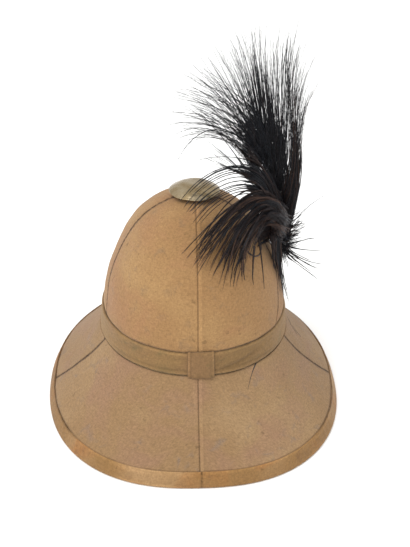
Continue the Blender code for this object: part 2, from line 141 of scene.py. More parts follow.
@dataclass(frozen=True)
class HatForm:
    """Form of the hat: the same outline as the solids have, from the same sizes."""

    crown_half_width: float = 88.8 * MM
    crown_half_length: float = 104.0 * MM
    crown_top: float = 204.0 * MM
    crown_upright_height: float = 66.0 * MM
    crown_round_across: float = 2.17
    crown_round_up: float = 2.04
    vent_hole_radius: float = 7.5 * MM
    band_top_rear: float = 97.5 * MM
    band_top_side: float = 92.5 * MM
    band_height: float = 21.5 * MM
    band_lean: float = 3.5 * MM
    rim_half_width: float = 143.8 * MM
    rim_half_length: float = 167.0 * MM
    rim_squareness_rear: float = 2.4
    rim_squareness_front: float = 2.0
    edge_run_out: float = 6.3 * MM
    edge_drop: float = 13.6 * MM
    brim_hollow: float = 0.35

    @staticmethod
    def plan(angle: Array, half_width: float, half_length: float, power: float) -> Array:
        """Distance from the axis to a superellipse in the direction of an angle."""
        across = np.abs(np.cos(angle)) / half_width
        along = np.abs(np.sin(angle)) / half_length
        return (across ** power + along ** power) ** (-1.0 / power)

    def crown_plan(self, angle: Array) -> Array:
        """Radius of the crown where its wall is upright."""
        return self.plan(angle, self.crown_half_width, self.crown_half_length, 2.0)

    def band_top(self, angle: Array) -> Array:
        """Height of the band's upper edge, higher at the rear than elsewhere."""
        rear = np.where(np.sin(angle) < 0, np.sin(angle) ** 2, 0.0)
        return self.band_top_side + (self.band_top_rear - self.band_top_side) * rear

    def crown(self, angle: Array, share: Array) -> tuple[Array, Array]:
        """Radius and height on the crown, from the vent hole (0) to the band (1)."""
        tall = self.crown_top - self.crown_upright_height
        rise = (self.band_top(angle) - self.crown_upright_height) / tall
        low = np.arcsin(rise ** (self.crown_round_up / 2))
        hole = self.vent_hole_radius / self.crown_plan(angle)
        high = np.arccos(hole ** (self.crown_round_across / 2))
        turn = high + (low - high) * share
        radius = self.crown_plan(angle) * np.cos(turn) ** (2 / self.crown_round_across)
        return radius, self.crown_upright_height + tall * np.sin(turn) ** (2 / self.crown_round_up)

    def band(self, angle: Array, share: Array) -> tuple[Array, Array]:
        """Radius and height behind the band, from its upper edge (0) to its lower edge (1)."""
        radius, height = self.crown(angle, 1.0)
        return radius + self.band_lean * share, height - self.band_height * share

    def rim(self, angle: Array) -> Array:
        """Radius of the rim under the binding's cloth."""
        power = np.where(np.sin(angle) < 0, self.rim_squareness_rear, self.rim_squareness_front)
        return self.plan(angle, self.rim_half_width, self.rim_half_length, power)

    @staticmethod
    def flank(angle: Array, start: float, end: float) -> Array:
        """0 near the rear centre and 1 beyond end, both turns in degrees from the centre."""
        turn = np.degrees(np.arccos(np.clip(-np.sin(angle), -1, 1)))
        return smooth_step((turn - start) / (end - start))

    def brim(self, angle: Array, share: Array) -> tuple[Array, Array]:
        """Radius and height on the brim, steep at the band (0) and flatter at the crease (1)."""
        radius, height = self.band(angle, 1.0)
        run = self.rim(angle) - self.edge_run_out - radius
        spread = share * (1 - self.brim_hollow) + self.brim_hollow * share ** 2
        return radius + run * spread, height + (self.edge_drop - height) * share

    def edge(self, angle: Array, share: Array) -> tuple[Array, Array]:
        """Radius and height on the turned-down edge, from the crease (0) to the rim (1)."""
        radius = self.rim(angle) - self.edge_run_out * (1 - share)
        return radius, self.edge_drop * (1 - share) + 0 * angle

    def point(self, angle: Array, station: Array) -> Array:
        """Point of the cloth surface at an angle and a station."""
        angle, station = np.broadcast_arrays(np.asarray(angle, float), np.asarray(station, float))
        radius, height = self.edge(angle, station - Station.CREASE)
        zones = ((self.brim, Station.BAND_BOTTOM), (self.band, Station.BAND_TOP),
                 (self.crown, Station.HOLE))
        for outline, start in zones:
            here_radius, here_height = outline(angle, np.clip(station - start, 0.0, 1.0))
            radius = np.where(station <= start + 1, here_radius, radius)
            height = np.where(station <= start + 1, here_height, height)
        return polar(radius, angle, height)

    def normal(self, angle: Array, station: Array) -> Array:
        """Unit normal of the cloth surface, from small steps down and around it."""
        step = 0.002
        low = np.maximum(station - step, Station.HOLE)
        high = np.minimum(station + step, Station.RIM)
        down = self.point(angle, high) - self.point(angle, low)
        around = self.point(angle + step, station) - self.point(angle - step, station)
        normal = np.cross(down, around)
        return normal / np.linalg.norm(normal, axis=-1, keepdims=True)


def grid_faces(rows: int, columns: int, closed: bool) -> Array:
    """Corner numbers of a grid's faces: rows run down the hat and columns run around it."""
    corner = np.arange(rows * columns).reshape(rows, columns)
    right = np.roll(corner, -1, axis=1)
    if not closed:
        corner, right = corner[:, :-1], right[:, :-1]
    return np.stack([corner[:-1], corner[1:], right[1:], right[:-1]], axis=-1).reshape(-1, 4)


def arc_lengths(points: Array, axis: int) -> Array:
    """Distance travelled along one axis of a grid of points, from its first row or column."""
    steps = np.linalg.norm(np.diff(points, axis=axis), axis=-1)
    pad = [(0, 0), (0, 0)]
    pad[axis] = (1, 0)
    return np.pad(np.cumsum(steps, axis=axis), pad)


def new_piece(name: str, points: Array, faces: Array, uv: Array | None = None,
              marks: dict[str, Array] | None = None) -> Piece:
    """Make a mesh object from arrays.

    Args:
        name: name of the piece.
        points: vertices, one row each.
        faces: corner numbers, one row of three or four each.
        uv: place on the cloth of each vertex, in metres.
        marks: named values of each vertex, which the material reads.

    Returns:
        The new object, linked to the scene.
    """
    mesh = bpy.data.meshes.new(name)
    sides = faces.shape[1]
    mesh.vertices.add(len(points))
    mesh.vertices.foreach_set("co", points.astype(np.float32).ravel())
    mesh.loops.add(faces.size)
    mesh.loops.foreach_set("vertex_index", faces.astype(np.int32).ravel())
    mesh.polygons.add(len(faces))
    mesh.polygons.foreach_set("loop_start", np.arange(0, faces.size, sides, dtype=np.int32))
    mesh.polygons.foreach_set("use_smooth", np.full(len(faces), True))
    if uv is not None:
        layer = mesh.uv_layers.new(name="cloth")
        layer.data.foreach_set("uv", uv[faces.ravel()].astype(np.float32).ravel())
    for mark, values in (marks or {}).items():
        attribute = mesh.attributes.new(mark, "FLOAT", "POINT")
        attribute.data.foreach_set("value", values.astype(np.float32).ravel())
    mesh.update(calc_edges=True)
    mesh.validate()
    piece = bpy.data.objects.new(name, mesh)
    bpy.context.scene.collection.objects.link(piece)
    return piece


def slab(name: str, outer: Array, inner: Array, closed: bool,
         marks: dict[str, Array] | None = None) -> Piece:
    """Make a closed wall between two grids of points with the same rows and columns.

    The outer grid, the inner grid turned round and a strip along each open border make
    one closed body. The cloth map holds the distance along each row and down the middle.

    Args:
        name: name of the piece.
        outer: grid of outer points.
        inner: grid of inner points.
        closed: whether the columns go all round.
        marks: named grids of values for the material.

    Returns:
        The new piece.
    """
    rows, columns = outer.shape[:2]
    count = rows * columns
    front = grid_faces(rows, columns, closed)
    back = front[:, ::-1] + count
    corner = np.arange(count).reshape(rows, columns)

    def strip(edge: Array) -> Array:
        after = np.roll(edge, -1) if closed else edge[1:]
        start = edge if closed else edge[:-1]
        return np.stack([start, after, after + count, start + count], axis=-1)

    strips = [strip(corner[0]), strip(corner[-1])[:, ::-1]]
    if not closed:
        for edge, turned in ((corner[:, 0], True), (corner[:, -1], False)):
            side = np.stack([edge[:-1], edge[1:], edge[1:] + count, edge[:-1] + count], axis=-1)
            strips.append(side[:, ::-1] if turned else side)
    faces = np.concatenate([front, back, *strips])
    across = arc_lengths(outer, 1)
    across = across - across[:, columns // 2:columns // 2 + 1]
    down = np.broadcast_to(arc_lengths(outer, 0)[:, columns // 2:columns // 2 + 1], across.shape)
    uv = np.tile(np.stack([across, down], axis=-1).reshape(-1, 2), (2, 1))
    twice = {mark: np.tile(values.ravel(), 2) for mark, values in (marks or {}).items()}
    points = np.concatenate([outer.reshape(-1, 3), inner.reshape(-1, 3)])
    return new_piece(name, points, faces, uv, twice)


def dress(piece: Piece, material: Material, slot: Slot,
          *nodes: str) -> Piece:
    """Give a piece its material and its body, and hide the nodes it stands for.

    Args:
        piece: the finished piece.
        material: its material.
        slot: the record's slot for it; not used.
        nodes: names of the solids that it replaces.

    Returns:
        The same piece.
    """
    piece.data.materials.clear()
    piece.data.materials.append(material)
    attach(piece, BODY)
    if nodes:
        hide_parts(*nodes)
    LOG.info("%s: %d faces", piece.name, len(piece.data.polygons))
    return piece


def add_node(tree: Tree, kind: str, settings: dict[str, object] | None = None,
             links: dict[str, Socket] | None = None) -> bpy.types.Node:
    """Add a shader node with its settings and links.

    Args:
        tree: tree that gets the node.
        kind: type name of the node.
        settings: values by property name, or by input name or number when no property fits.
        links: output sockets by the input name or number that they feed.

    Returns:
        The new node.
    """
    node = tree.nodes.new(kind)
    for name, value in (settings or {}).items():
        if isinstance(name, str) and hasattr(node, name):
            setattr(node, name, value)
        else:
            node.inputs[name].default_value = value
    for name, source in (links or {}).items():
        tree.links.new(source, node.inputs[name])
    return node


def new_material(name: str) -> tuple[Material, Tree, bpy.types.Node]:
    """Make an empty material with a Principled shader joined to its output."""
    material = bpy.data.materials.new(name)
    material.use_nodes = True
    tree = material.node_tree
    tree.nodes.clear()
    shader = tree.nodes.new("ShaderNodeBsdfPrincipled")
    add_node(tree, "ShaderNodeOutputMaterial", links={"Surface": shader.outputs[0]})
    return material, tree, shader


def feed(tree: Tree, node: bpy.types.Node, values: dict[str | int, object]) -> None:
    """Give a node's inputs their values: a socket is linked, and anything else is set."""
    for name, value in values.items():
        if isinstance(value, Socket):
            tree.links.new(value, node.inputs[name])
        else:
            node.inputs[name].default_value = value


def mix_colours(tree: Tree, factor: Socket, first: object,
                second: object) -> Socket:
    """Mix two colours, each a socket or a colour, by a factor socket."""
    node = add_node(tree, "ShaderNodeMix", {"data_type": "RGBA"}, {0: factor})
    feed(tree, node, {6: first, 7: second})
    return node.outputs[2]


def own_mark(tree: Tree, name: str) -> Socket:
    """Value of a piece's own mark: seam (dirt, painted shade), rub (wear, painted highlight) or
    tone.
    """
    return add_node(tree, "ShaderNodeAttribute", {"attribute_name": name}).outputs["Fac"]


def object_place(tree: Tree) -> Socket:
    """Place on the object, in metres."""
    return add_node(tree, "ShaderNodeTexCoord").outputs["Object"]


def raise_height(tree: Tree, height: Socket, strength: float,
                 depth_mm: float, **under: Socket) -> Socket:
    """Normal of a surface that a height raises, over the normal named Normal if given."""
    return add_node(tree, "ShaderNodeBump", {"Strength": strength, "Distance": depth_mm * MM},
                    {"Height": height, **under}).outputs[0]


def spread(tree: Tree, source: Socket, low: float, high: float,
           start: float = 0.0, end: float = 1.0) -> Socket:
    """Map a value from low..high to start..end and hold it there."""
    node = add_node(tree, "ShaderNodeMapRange",
                    {1: low, 2: high, 3: start, 4: end}, {0: source})
    return node.outputs[0]


def noise(tree: Tree, place: Socket, size_mm: float,
          detail: float = 3.0, rough: float = 0.55, warp: float = 0.0) -> Socket:
    """Noise whose blotches measure about size_mm, on places given in metres."""
    node = add_node(tree, "ShaderNodeTexNoise",
                    {"Scale": 1.0 / (size_mm * MM), "Detail": detail, "Roughness": rough,
                     "Distortion": warp}, {"Vector": place})
    return node.outputs["Fac"]


@dataclass(frozen=True)
class ClothFinish:
    """Woven cotton that has aged: dull, thready, stained and rubbed, with painted shade and
    highlight.
    """

    name: str
    base: str
    faded: str
    rosy: str
    soiled: str
    grime_and_shade: str
    thread_mm: float = 0.85
    weave_depth_mm: float = 0.2
    roughness: float = 0.92
    sheen: float = 0.12
    fade_low: float = 0.46
    stain_low: float = 0.58
    seed_shift: float = 0.0

    def material(self) -> Material:
        """Build the cloth's material.

        The real threads are about half a millimetre apart, too fine for the render, so they
        are drawn thread_mm apart. Wide soft noise fades the dye, two middle ones redden and
        soil it, fine noise gives single threads their own tone. The seam mark darkens seams,
        creases and joints with grime and painted shade, and the rub mark pales fold edges and
        seam ridges, partly as rubbing and partly as painted highlight.

        Returns:
            The new material.
        """
        material, tree, shader = new_material(self.name)
        shift = add_node(tree, "ShaderNodeMapping",
                         {"Location": (self.seed_shift, self.seed_shift * 0.7, 0.0)},
                         {"Vector": object_place(tree)})
        space = shift.outputs[0]
        cloth = add_node(tree, "ShaderNodeUVMap", {"uv_map": "cloth"}).outputs[0]
        layers = ((noise(tree, space, 80.0, 2.0), self.fade_low, 0.68, self.faded, 1.0),
                  (noise(tree, space, 46.0, 3.0, 0.5, 0.8), 0.5, 0.7, self.rosy, 0.75),
                  (noise(tree, space, 16.0, 4.0, 0.6, 0.6), self.stain_low, 0.74, self.soiled, 0.7),
                  (noise(tree, space, 6.5, 2.0, 0.5), 0.68, 0.76, self.grime_and_shade, 0.35))
        colour = linear(self.base)
        for pattern, low, high, tint, most in layers:
            colour = mix_colours(tree, spread(tree, pattern, low, high, 0.0, most), colour,
                                 linear(tint))
        yarns = []
        for stretch in ((1.0, 0.45, 1.0), (0.45, 1.0, 1.0)):
            slub = add_node(tree, "ShaderNodeMapping", {"Scale": stretch}, {"Vector": cloth})
            yarns.append(noise(tree, slub.outputs[0], self.thread_mm * 1.5, 2.0, 0.65))
        threads = add_node(tree, "ShaderNodeMath", {"operation": "ADD", "use_clamp": False},
                           {0: yarns[0], 1: yarns[1]}).outputs[0]
        mottle = noise(tree, space, 3.2, 4.0, 0.65)
        colour = self.shade(tree, colour, spread(tree, mottle, 0.28, 0.72, 0.91, 1.09))
        colour = self.shade(tree, colour, spread(tree, threads, 0.72, 1.28, 0.83, 1.17))
        # Rub mark: paler colour, partly rubbing and partly painted highlight on fold edges and seam
        # ridges.
        rub_and_highlight = own_mark(tree, "rub_and_highlight")
        colour = self.shade(tree, colour, spread(tree, rub_and_highlight, 0.0, 1.0, 1.0, 1.42))
        # Seam mark: mixes towards the dark colour, for real grime and for painted shade in seams
        # and creases.
        seam = own_mark(tree, "seam")
        ragged = spread(tree, noise(tree, space, 3.5, 3.0), 0.35, 0.65, 0.5, 1.0)
        dirt_and_shade = add_node(tree, "ShaderNodeMath", {"operation": "MULTIPLY"}, {0: seam, 1: ragged})
        colour = mix_colours(tree, dirt_and_shade.outputs[0], colour, linear(self.grime_and_shade))
        rough = spread(tree, mottle, 0.3, 0.7, self.roughness + 0.05, self.roughness - 0.06)
        feed(tree, shader, {"Base Color": colour, "Roughness": rough, "Sheen Weight": self.sheen,
                            "Sheen Roughness": 0.5, "Specular IOR Level": 0.2,
                            "Normal": self.weave(tree, cloth, threads, space)})
        return material

    @staticmethod
    def shade(tree: Tree, colour: object,
              tone: Socket) -> Socket:
        """Multiply a colour, a socket or plain, by a grey tone."""
        if not isinstance(colour, Socket):
            plain = add_node(tree, "ShaderNodeRGB")
            plain.outputs[0].default_value = colour
            colour = plain.outputs[0]
        node = add_node(tree, "ShaderNodeVectorMath", {"operation": "SCALE"}, {0: colour})
        tree.links.new(tone, node.inputs["Scale"])
        return node.outputs[0]

    def weave(self, tree: Tree, cloth: Socket,
              threads: Socket,
              space: Socket) -> Socket:
        """Raise the twill: warp and weft ribs of thread_mm with uneven yarn under them.

        Args:
            tree: the material's tree.
            cloth: place on the cloth, in metres.
            threads: tone of single threads.
            space: place in space, in metres.

        Returns:
            The normal of the woven surface.
        """
        scale = 1.0 / (self.thread_mm * MM) / 3.0
        ribs = []
        for turn in (0.0, math.pi / 2):
            turned = add_node(tree, "ShaderNodeMapping", {"Rotation": (0.0, 0.0, turn)},
                              {"Vector": cloth})
            rib = add_node(tree, "ShaderNodeTexWave",
                           {"Scale": scale, "Distortion": 1.2, "Detail": 1.0,
                            "Detail Scale": 1.5}, {"Vector": turned.outputs[0]})
            ribs.append(rib.outputs["Fac"])
        woven = add_node(tree, "ShaderNodeMath", {"operation": "MULTIPLY"},
                         {0: ribs[0], 1: ribs[1]})
        height = add_node(tree, "ShaderNodeMath", {"operation": "ADD"},
                          {0: woven.outputs[0], 1: threads})
        fine = raise_height(tree, height.outputs[0], 0.55, self.weave_depth_mm)
        return raise_height(tree, noise(tree, space, 8.0, 3.0), 0.45, 0.7, Normal=fine)


@dataclass(frozen=True)
class PithFinish:
    """Pressed pith board: pale, dry and fibrous, seen inside the hat."""

    name: str = "pressed_pith"
    base: str = "#b39a72"
    dark: str = "#7d6545"

    def material(self) -> Material:
        """Build the pith's material: soft fibres of two tones with a dry, pitted face."""
        material, tree, shader = new_material(self.name)
        space = object_place(tree)
        fibre = noise(tree, space, 6.0, 6.0, 0.7, 1.0)
        colour = mix_colours(tree, spread(tree, fibre, 0.35, 0.7), linear(self.base),
                             linear(self.dark))
        feed(tree, shader, {"Base Color": colour, "Roughness": 0.95,
                            "Normal": raise_height(tree, noise(tree, space, 1.6, 4.0), 0.5, 0.4)})
        return material


@dataclass(frozen=True)
class MetalFinish:
    """Pressed brass that was painted khaki and has worn: olive film, grey metal, tarnish."""

    name: str = "painted_brass"
    paint: str = "#8b7857"
    bare: str = "#ac9e84"
    tarnish: str = "#352f25"

    def material(self) -> Material:
        """Build the metal's material: thin satin paint, rubbed patches and dark tarnish."""
        material, tree, shader = new_material(self.name)
        space = object_place(tree)
        wide = noise(tree, space, 16.0, 5.0, 0.6, 0.6)
        fine = noise(tree, space, 2.2, 5.0, 0.65)
        rubbed = spread(tree, wide, 0.40, 0.70)
        colour = mix_colours(tree, rubbed, linear(self.paint), linear(self.bare))
        dark = spread(tree, fine, 0.58, 0.78, 0.0, 0.5)
        colour = mix_colours(tree, dark, colour, linear(self.tarnish))
        feed(tree, shader, {"Base Color": colour,
                            "Metallic": spread(tree, wide, 0.40, 0.70, 0.75, 0.95),
                            "Roughness": spread(tree, fine, 0.3, 0.7, 0.18, 0.34),
                            "Normal": raise_height(tree, fine, 0.3, 0.25)})
        return material


@dataclass(frozen=True)
class FeatherFinish:
    """Cock feather barbs: nearly black with a blue gloss, browner where they are worn."""

    name: str = "cock_feather"
    black: str = "#0c0d12"
    brown: str = "#2b1c17"
    worn: str = "#5a4132"

    def material(self) -> Material:
        """Build the barbs' material: each strand's tone mark picks black, brown or worn."""
        material, tree, shader = new_material(self.name)
        tone = own_mark(tree, "tone")
        colour = mix_colours(tree, spread(tree, tone, 0.35, 0.75), linear(self.black),
                             linear(self.brown))
        colour = mix_colours(tree, spread(tree, tone, 0.8, 1.0), colour, linear(self.worn))
        feed(tree, shader, {"Base Color": colour,
                            "Roughness": spread(tree, tone, 0.0, 1.0, 0.26, 0.5),
                            "Specular IOR Level": 0.32, "Sheen Weight": 0.06,
                            "Sheen Tint": linear("#8fa0b8")})
        return material


@dataclass
class ClothCover:
    """The cloth of the crown and the brim, panel by panel, with seams and soft dents."""

    form: HatForm
    crown_finish: ClothFinish
    brim_finish: ClothFinish
    cloth: float = 1.0 * MM
    seam_gap: float = 0.12 * MM
    crown_seam_left: tuple[float, float] = (80.0, 69.0)
    crown_seam_right: tuple[float, float] = (77.0, 53.0)
    crown_seam_drift: float = 5.0
    brim_seam_top: float = 66.0
    brim_seam_edge: float = 81.0
    groove_depth: float = 0.25 * MM
    groove_width: float = 0.6 * MM
    ridge_height: float = 0.55 * MM
    ridge_width: float = 3.2 * MM
    pucker_depth: float = 0.12 * MM
    pucker_pitch: float = 4.2 * MM
    end_depth: float = 0.4 * MM
    end_tuck: float = 1.2 * MM
    crown_rows: int = 112
    crown_stop: float = 0.998
    brim_rows: int = 64
    brim_top_gap: float = 0.6 * MM
    brim_edge_gap: float = 0.3 * MM
    # Small stitched tucks on the right of the brim, as runs of x and y in millimetres.
    darts: tuple[tuple[tuple[float, float], ...], ...] = (
        ((94.7, 6.6), (97.2, -1.7), (103.7, -4.5)), ((100.5, 0.9), (108.0, -0.9)))

    def relief(self, points: Array, from_start: Array, from_end: Array, down: Array) -> Array:
        """Height of the cloth over its plain surface.

        Wide, middle and small ripples make soft dents. At each seam the cloth dips into a
        groove, the seam allowance raises a ridge beside it that is lower at the hat's
        sides, and the stitches pull small puckers along it.

        Args:
            points: plain points of the panel.
            from_start: distance of each point from the panel's first seam.
            from_end: distance of each point from its last seam.
            down: distance down the panel.

        Returns:
            Height of each point.
        """
        soft = 0.42 * MM * ripple(points, 62 * MM, 3) + 0.16 * MM * ripple(points, 24 * MM, 5)
        soft = soft + 0.045 * MM * ripple(points, 8 * MM, 7)
        near = np.minimum(from_start, from_end)
        groove = -self.groove_depth * peak(near, self.groove_width)
        aside = points[..., 0] ** 2 / (points[..., :2] ** 2).sum(axis=-1)
        ridge = (self.ridge_height * (1 - aside)
                 * (self.crest(from_start) + 0.3 * self.crest(from_end)))
        fade = np.exp(-near / (5 * MM))
        pucker = self.pucker_depth * fade * np.sin(2 * math.pi * down / self.pucker_pitch)
        return soft + groove + ridge + pucker

    @staticmethod
    def from_line(points: Array, line: Array) -> Array:
        """Distance in plan from each point to a line of straight runs."""
        start, run = line[:-1], np.diff(line, axis=0)
        offset = points[..., None, :] - start
        share = np.clip((offset * run).sum(axis=-1) / (run ** 2).sum(axis=-1), 0, 1)
        return np.linalg.norm(offset - share[..., None] * run, axis=-1).min(axis=-1)

    def crest(self, away: Array) -> Array:
        """Share of the ridge's height at a distance from its seam."""
        rise = smooth_step((away - 0.2 * MM) / (0.8 * MM))
        return rise * (1 - smooth_step((away - self.ridge_width) / (1.2 * MM)))

    def panel(self, material: Material, name: str, node: str, stations: Array,
              start: Array, end: Array, columns: int) -> Piece:
        """Make one cloth panel between two seams.

        Args:
            material: its cloth.
            name: name of the piece.
            node: solid that it replaces.
            stations: stations of its rows.
            start: angle of its first seam at each station, in degrees.
            end: angle of its last seam at each station, in degrees.
            columns: number of steps across it.

        Returns:
            The new piece.
        """
        start, end = (np.radians(np.broadcast_to(seam, stations.shape)) for seam in (start, end))
        radius = np.linalg.norm(self.form.point(start, stations)[:, :2], axis=-1)
        half_gap = self.seam_gap / 2 / radius
        share = self.crowd(columns)[None, :]
        low, high = (start + half_gap)[:, None], (end - half_gap)[:, None]
        angle = low + (high - low) * share
        row = np.broadcast_to(stations[:, None], angle.shape)
        plain, normal = self.form.point(angle, row), self.form.normal(angle, row)
        across, down = arc_lengths(plain, 1), arc_lengths(plain, 0)
        width = across[:, -1:]
        height = self.relief(plain, across, width - across, down)
        length = down[-1:, :]
        ends = np.minimum(down, length - down)
        flank = self.form.flank(angle, 42.0, 58.0)
        aside = np.where(down < length / 2, 1 - flank, 0.1 + 0.9 * flank)
        if node.startswith("crown"):
            aside = np.ones_like(flank)
        height = height - self.end_depth * aside * peak(ends, self.end_tuck)
        outer = plain + normal * height[..., None]
        inner = plain - normal * self.cloth
        near = np.minimum(across, width - across)
        # Seam mark: dark seam lines, darker and wider towards the sides as painted shade of the
        # seam folds, a faint broad darkening beside each seam, painted shade at the ends by the
        # band and the crease, and the dark stitched darts.
        stitch = 0.75 + 0.25 * np.sin(2 * math.pi * down / (2.6 * MM))
        side = np.cos(angle) ** 2
        seam = (0.5 + 0.75 * side) * stitch ** (1 - side)
        seam = seam * peak(near, 0.5 * MM + 1.3 * MM * side)
        seam = seam + 0.08 * np.exp(-near / (8 * MM))
        seam = np.maximum(seam, 0.4 * aside * peak(ends, 0.9 * MM))
        for dart in self.darts:
            away = self.from_line(plain[..., :2], np.array(dart) * MM)
            seam = np.maximum(seam, 1.3 * peak(away, 0.8 * MM))
        # Rub mark: the seam ridges paled, partly as rubbing and partly as painted highlight, less
        # at the sides.
        rub_and_highlight = (0.35 * self.crest(across) + 0.12 * self.crest(width - across)) * (1 - 0.7 * side)
        piece = slab(name, outer, inner, False, {"seam": seam, "rub_and_highlight": rub_and_highlight})
        dress(piece, material, Slot.CLOTH, node)
        return piece

    def crowd(self, columns: int) -> Array:
        """Shares across a panel, closer together beside its seams: s - a sin(2 pi s)."""
        even = np.linspace(0.0, 1.0, columns + 1)
        return even - 0.85 * np.sin(2 * math.pi * even) / (2 * math.pi)

    def build(self) -> list[Piece]:
        """Build the four crown panels and the three brim panels.

        Returns:
            The new pieces.
        """
        crown_cloth, brim_cloth = self.crown_finish.material(), self.brim_finish.material()
        form = self.form
        crown = np.linspace(0.0, self.crown_stop, self.crown_rows)
        left, right = (top + (base - top) * crown ** self.crown_seam_drift
                       for top, base in (self.crown_seam_left, self.crown_seam_right))
        run = form.rim_half_width - form.crown_half_width
        brim = np.linspace(Station.BAND_BOTTOM + self.brim_top_gap / run,
                           Station.CREASE - self.brim_edge_gap / run, self.brim_rows)
        seam = self.brim_seam_top + (self.brim_seam_edge - self.brim_seam_top) * (
            brim - Station.BAND_BOTTOM)
        full = 360 + REAR
        crown_cuts = (("rear_right", REAR, REAR + right, 84),
                      ("front_right", REAR + right, FRONT, 96),
                      ("front_left", FRONT, full - left, 96),
                      ("rear_left", full - left, full, 84))
        brim_cuts = (("rear_right", REAR, REAR + seam, 120),
                     ("front", REAR + seam, full - seam, 260),
                     ("rear_left", full - seam, full, 120))
        zones = (("crown", crown_cloth, crown, crown_cuts), ("brim", brim_cloth, brim, brim_cuts))
        return [self.panel(cloth, f"{zone}_cloth_{place}", f"{zone}_panel_{place}", rows, *cut)
                for zone, cloth, rows, cuts in zones for place, *cut in cuts]


@dataclass
class Bodies:
    """The two pith walls under the cloth, smooth inside."""

    form: HatForm
    finish: PithFinish
    wall: float = 4.5 * MM
    under: float = 1.5 * MM
    joint: float = 0.15 * MM
    meeting: float = 1.5
    rim_stations: tuple[float, float] = (3.3, 3.655)
    crown_rows: int = 40
    brim_rows: int = 24
    columns: int = 180

    def wall_piece(self, name: str, node: str, stations: Array) -> Piece:
        """Make one wall all round between its first and last station."""
        angle = full_turn(self.columns)[None, :]
        angle, row = np.broadcast_arrays(angle, stations[:, None])
        plain, normal = self.form.point(angle, row), self.form.normal(angle, row)
        piece = slab(name, plain - normal * self.under,
                     plain - normal * (self.under + self.wall), True)
        return dress(piece, self.pith, Slot.PITH, node)

    def build(self) -> list[Piece]:
        """Build the crown's wall and the brim's wall."""
        self.pith = self.finish.material()
        joint = self.joint / self.form.band_height
        crown = np.concatenate([np.linspace(Station.HOLE, Station.BAND_TOP, self.crown_rows),
                                [self.meeting - joint]])
        brim = np.concatenate([[self.meeting + joint],
                               np.linspace(Station.BAND_BOTTOM, Station.CREASE, self.brim_rows),
                               self.rim_stations])
        return [self.wall_piece("crown_pith", "crown_body", crown),
                self.wall_piece("brim_pith", "brim_body", brim)]


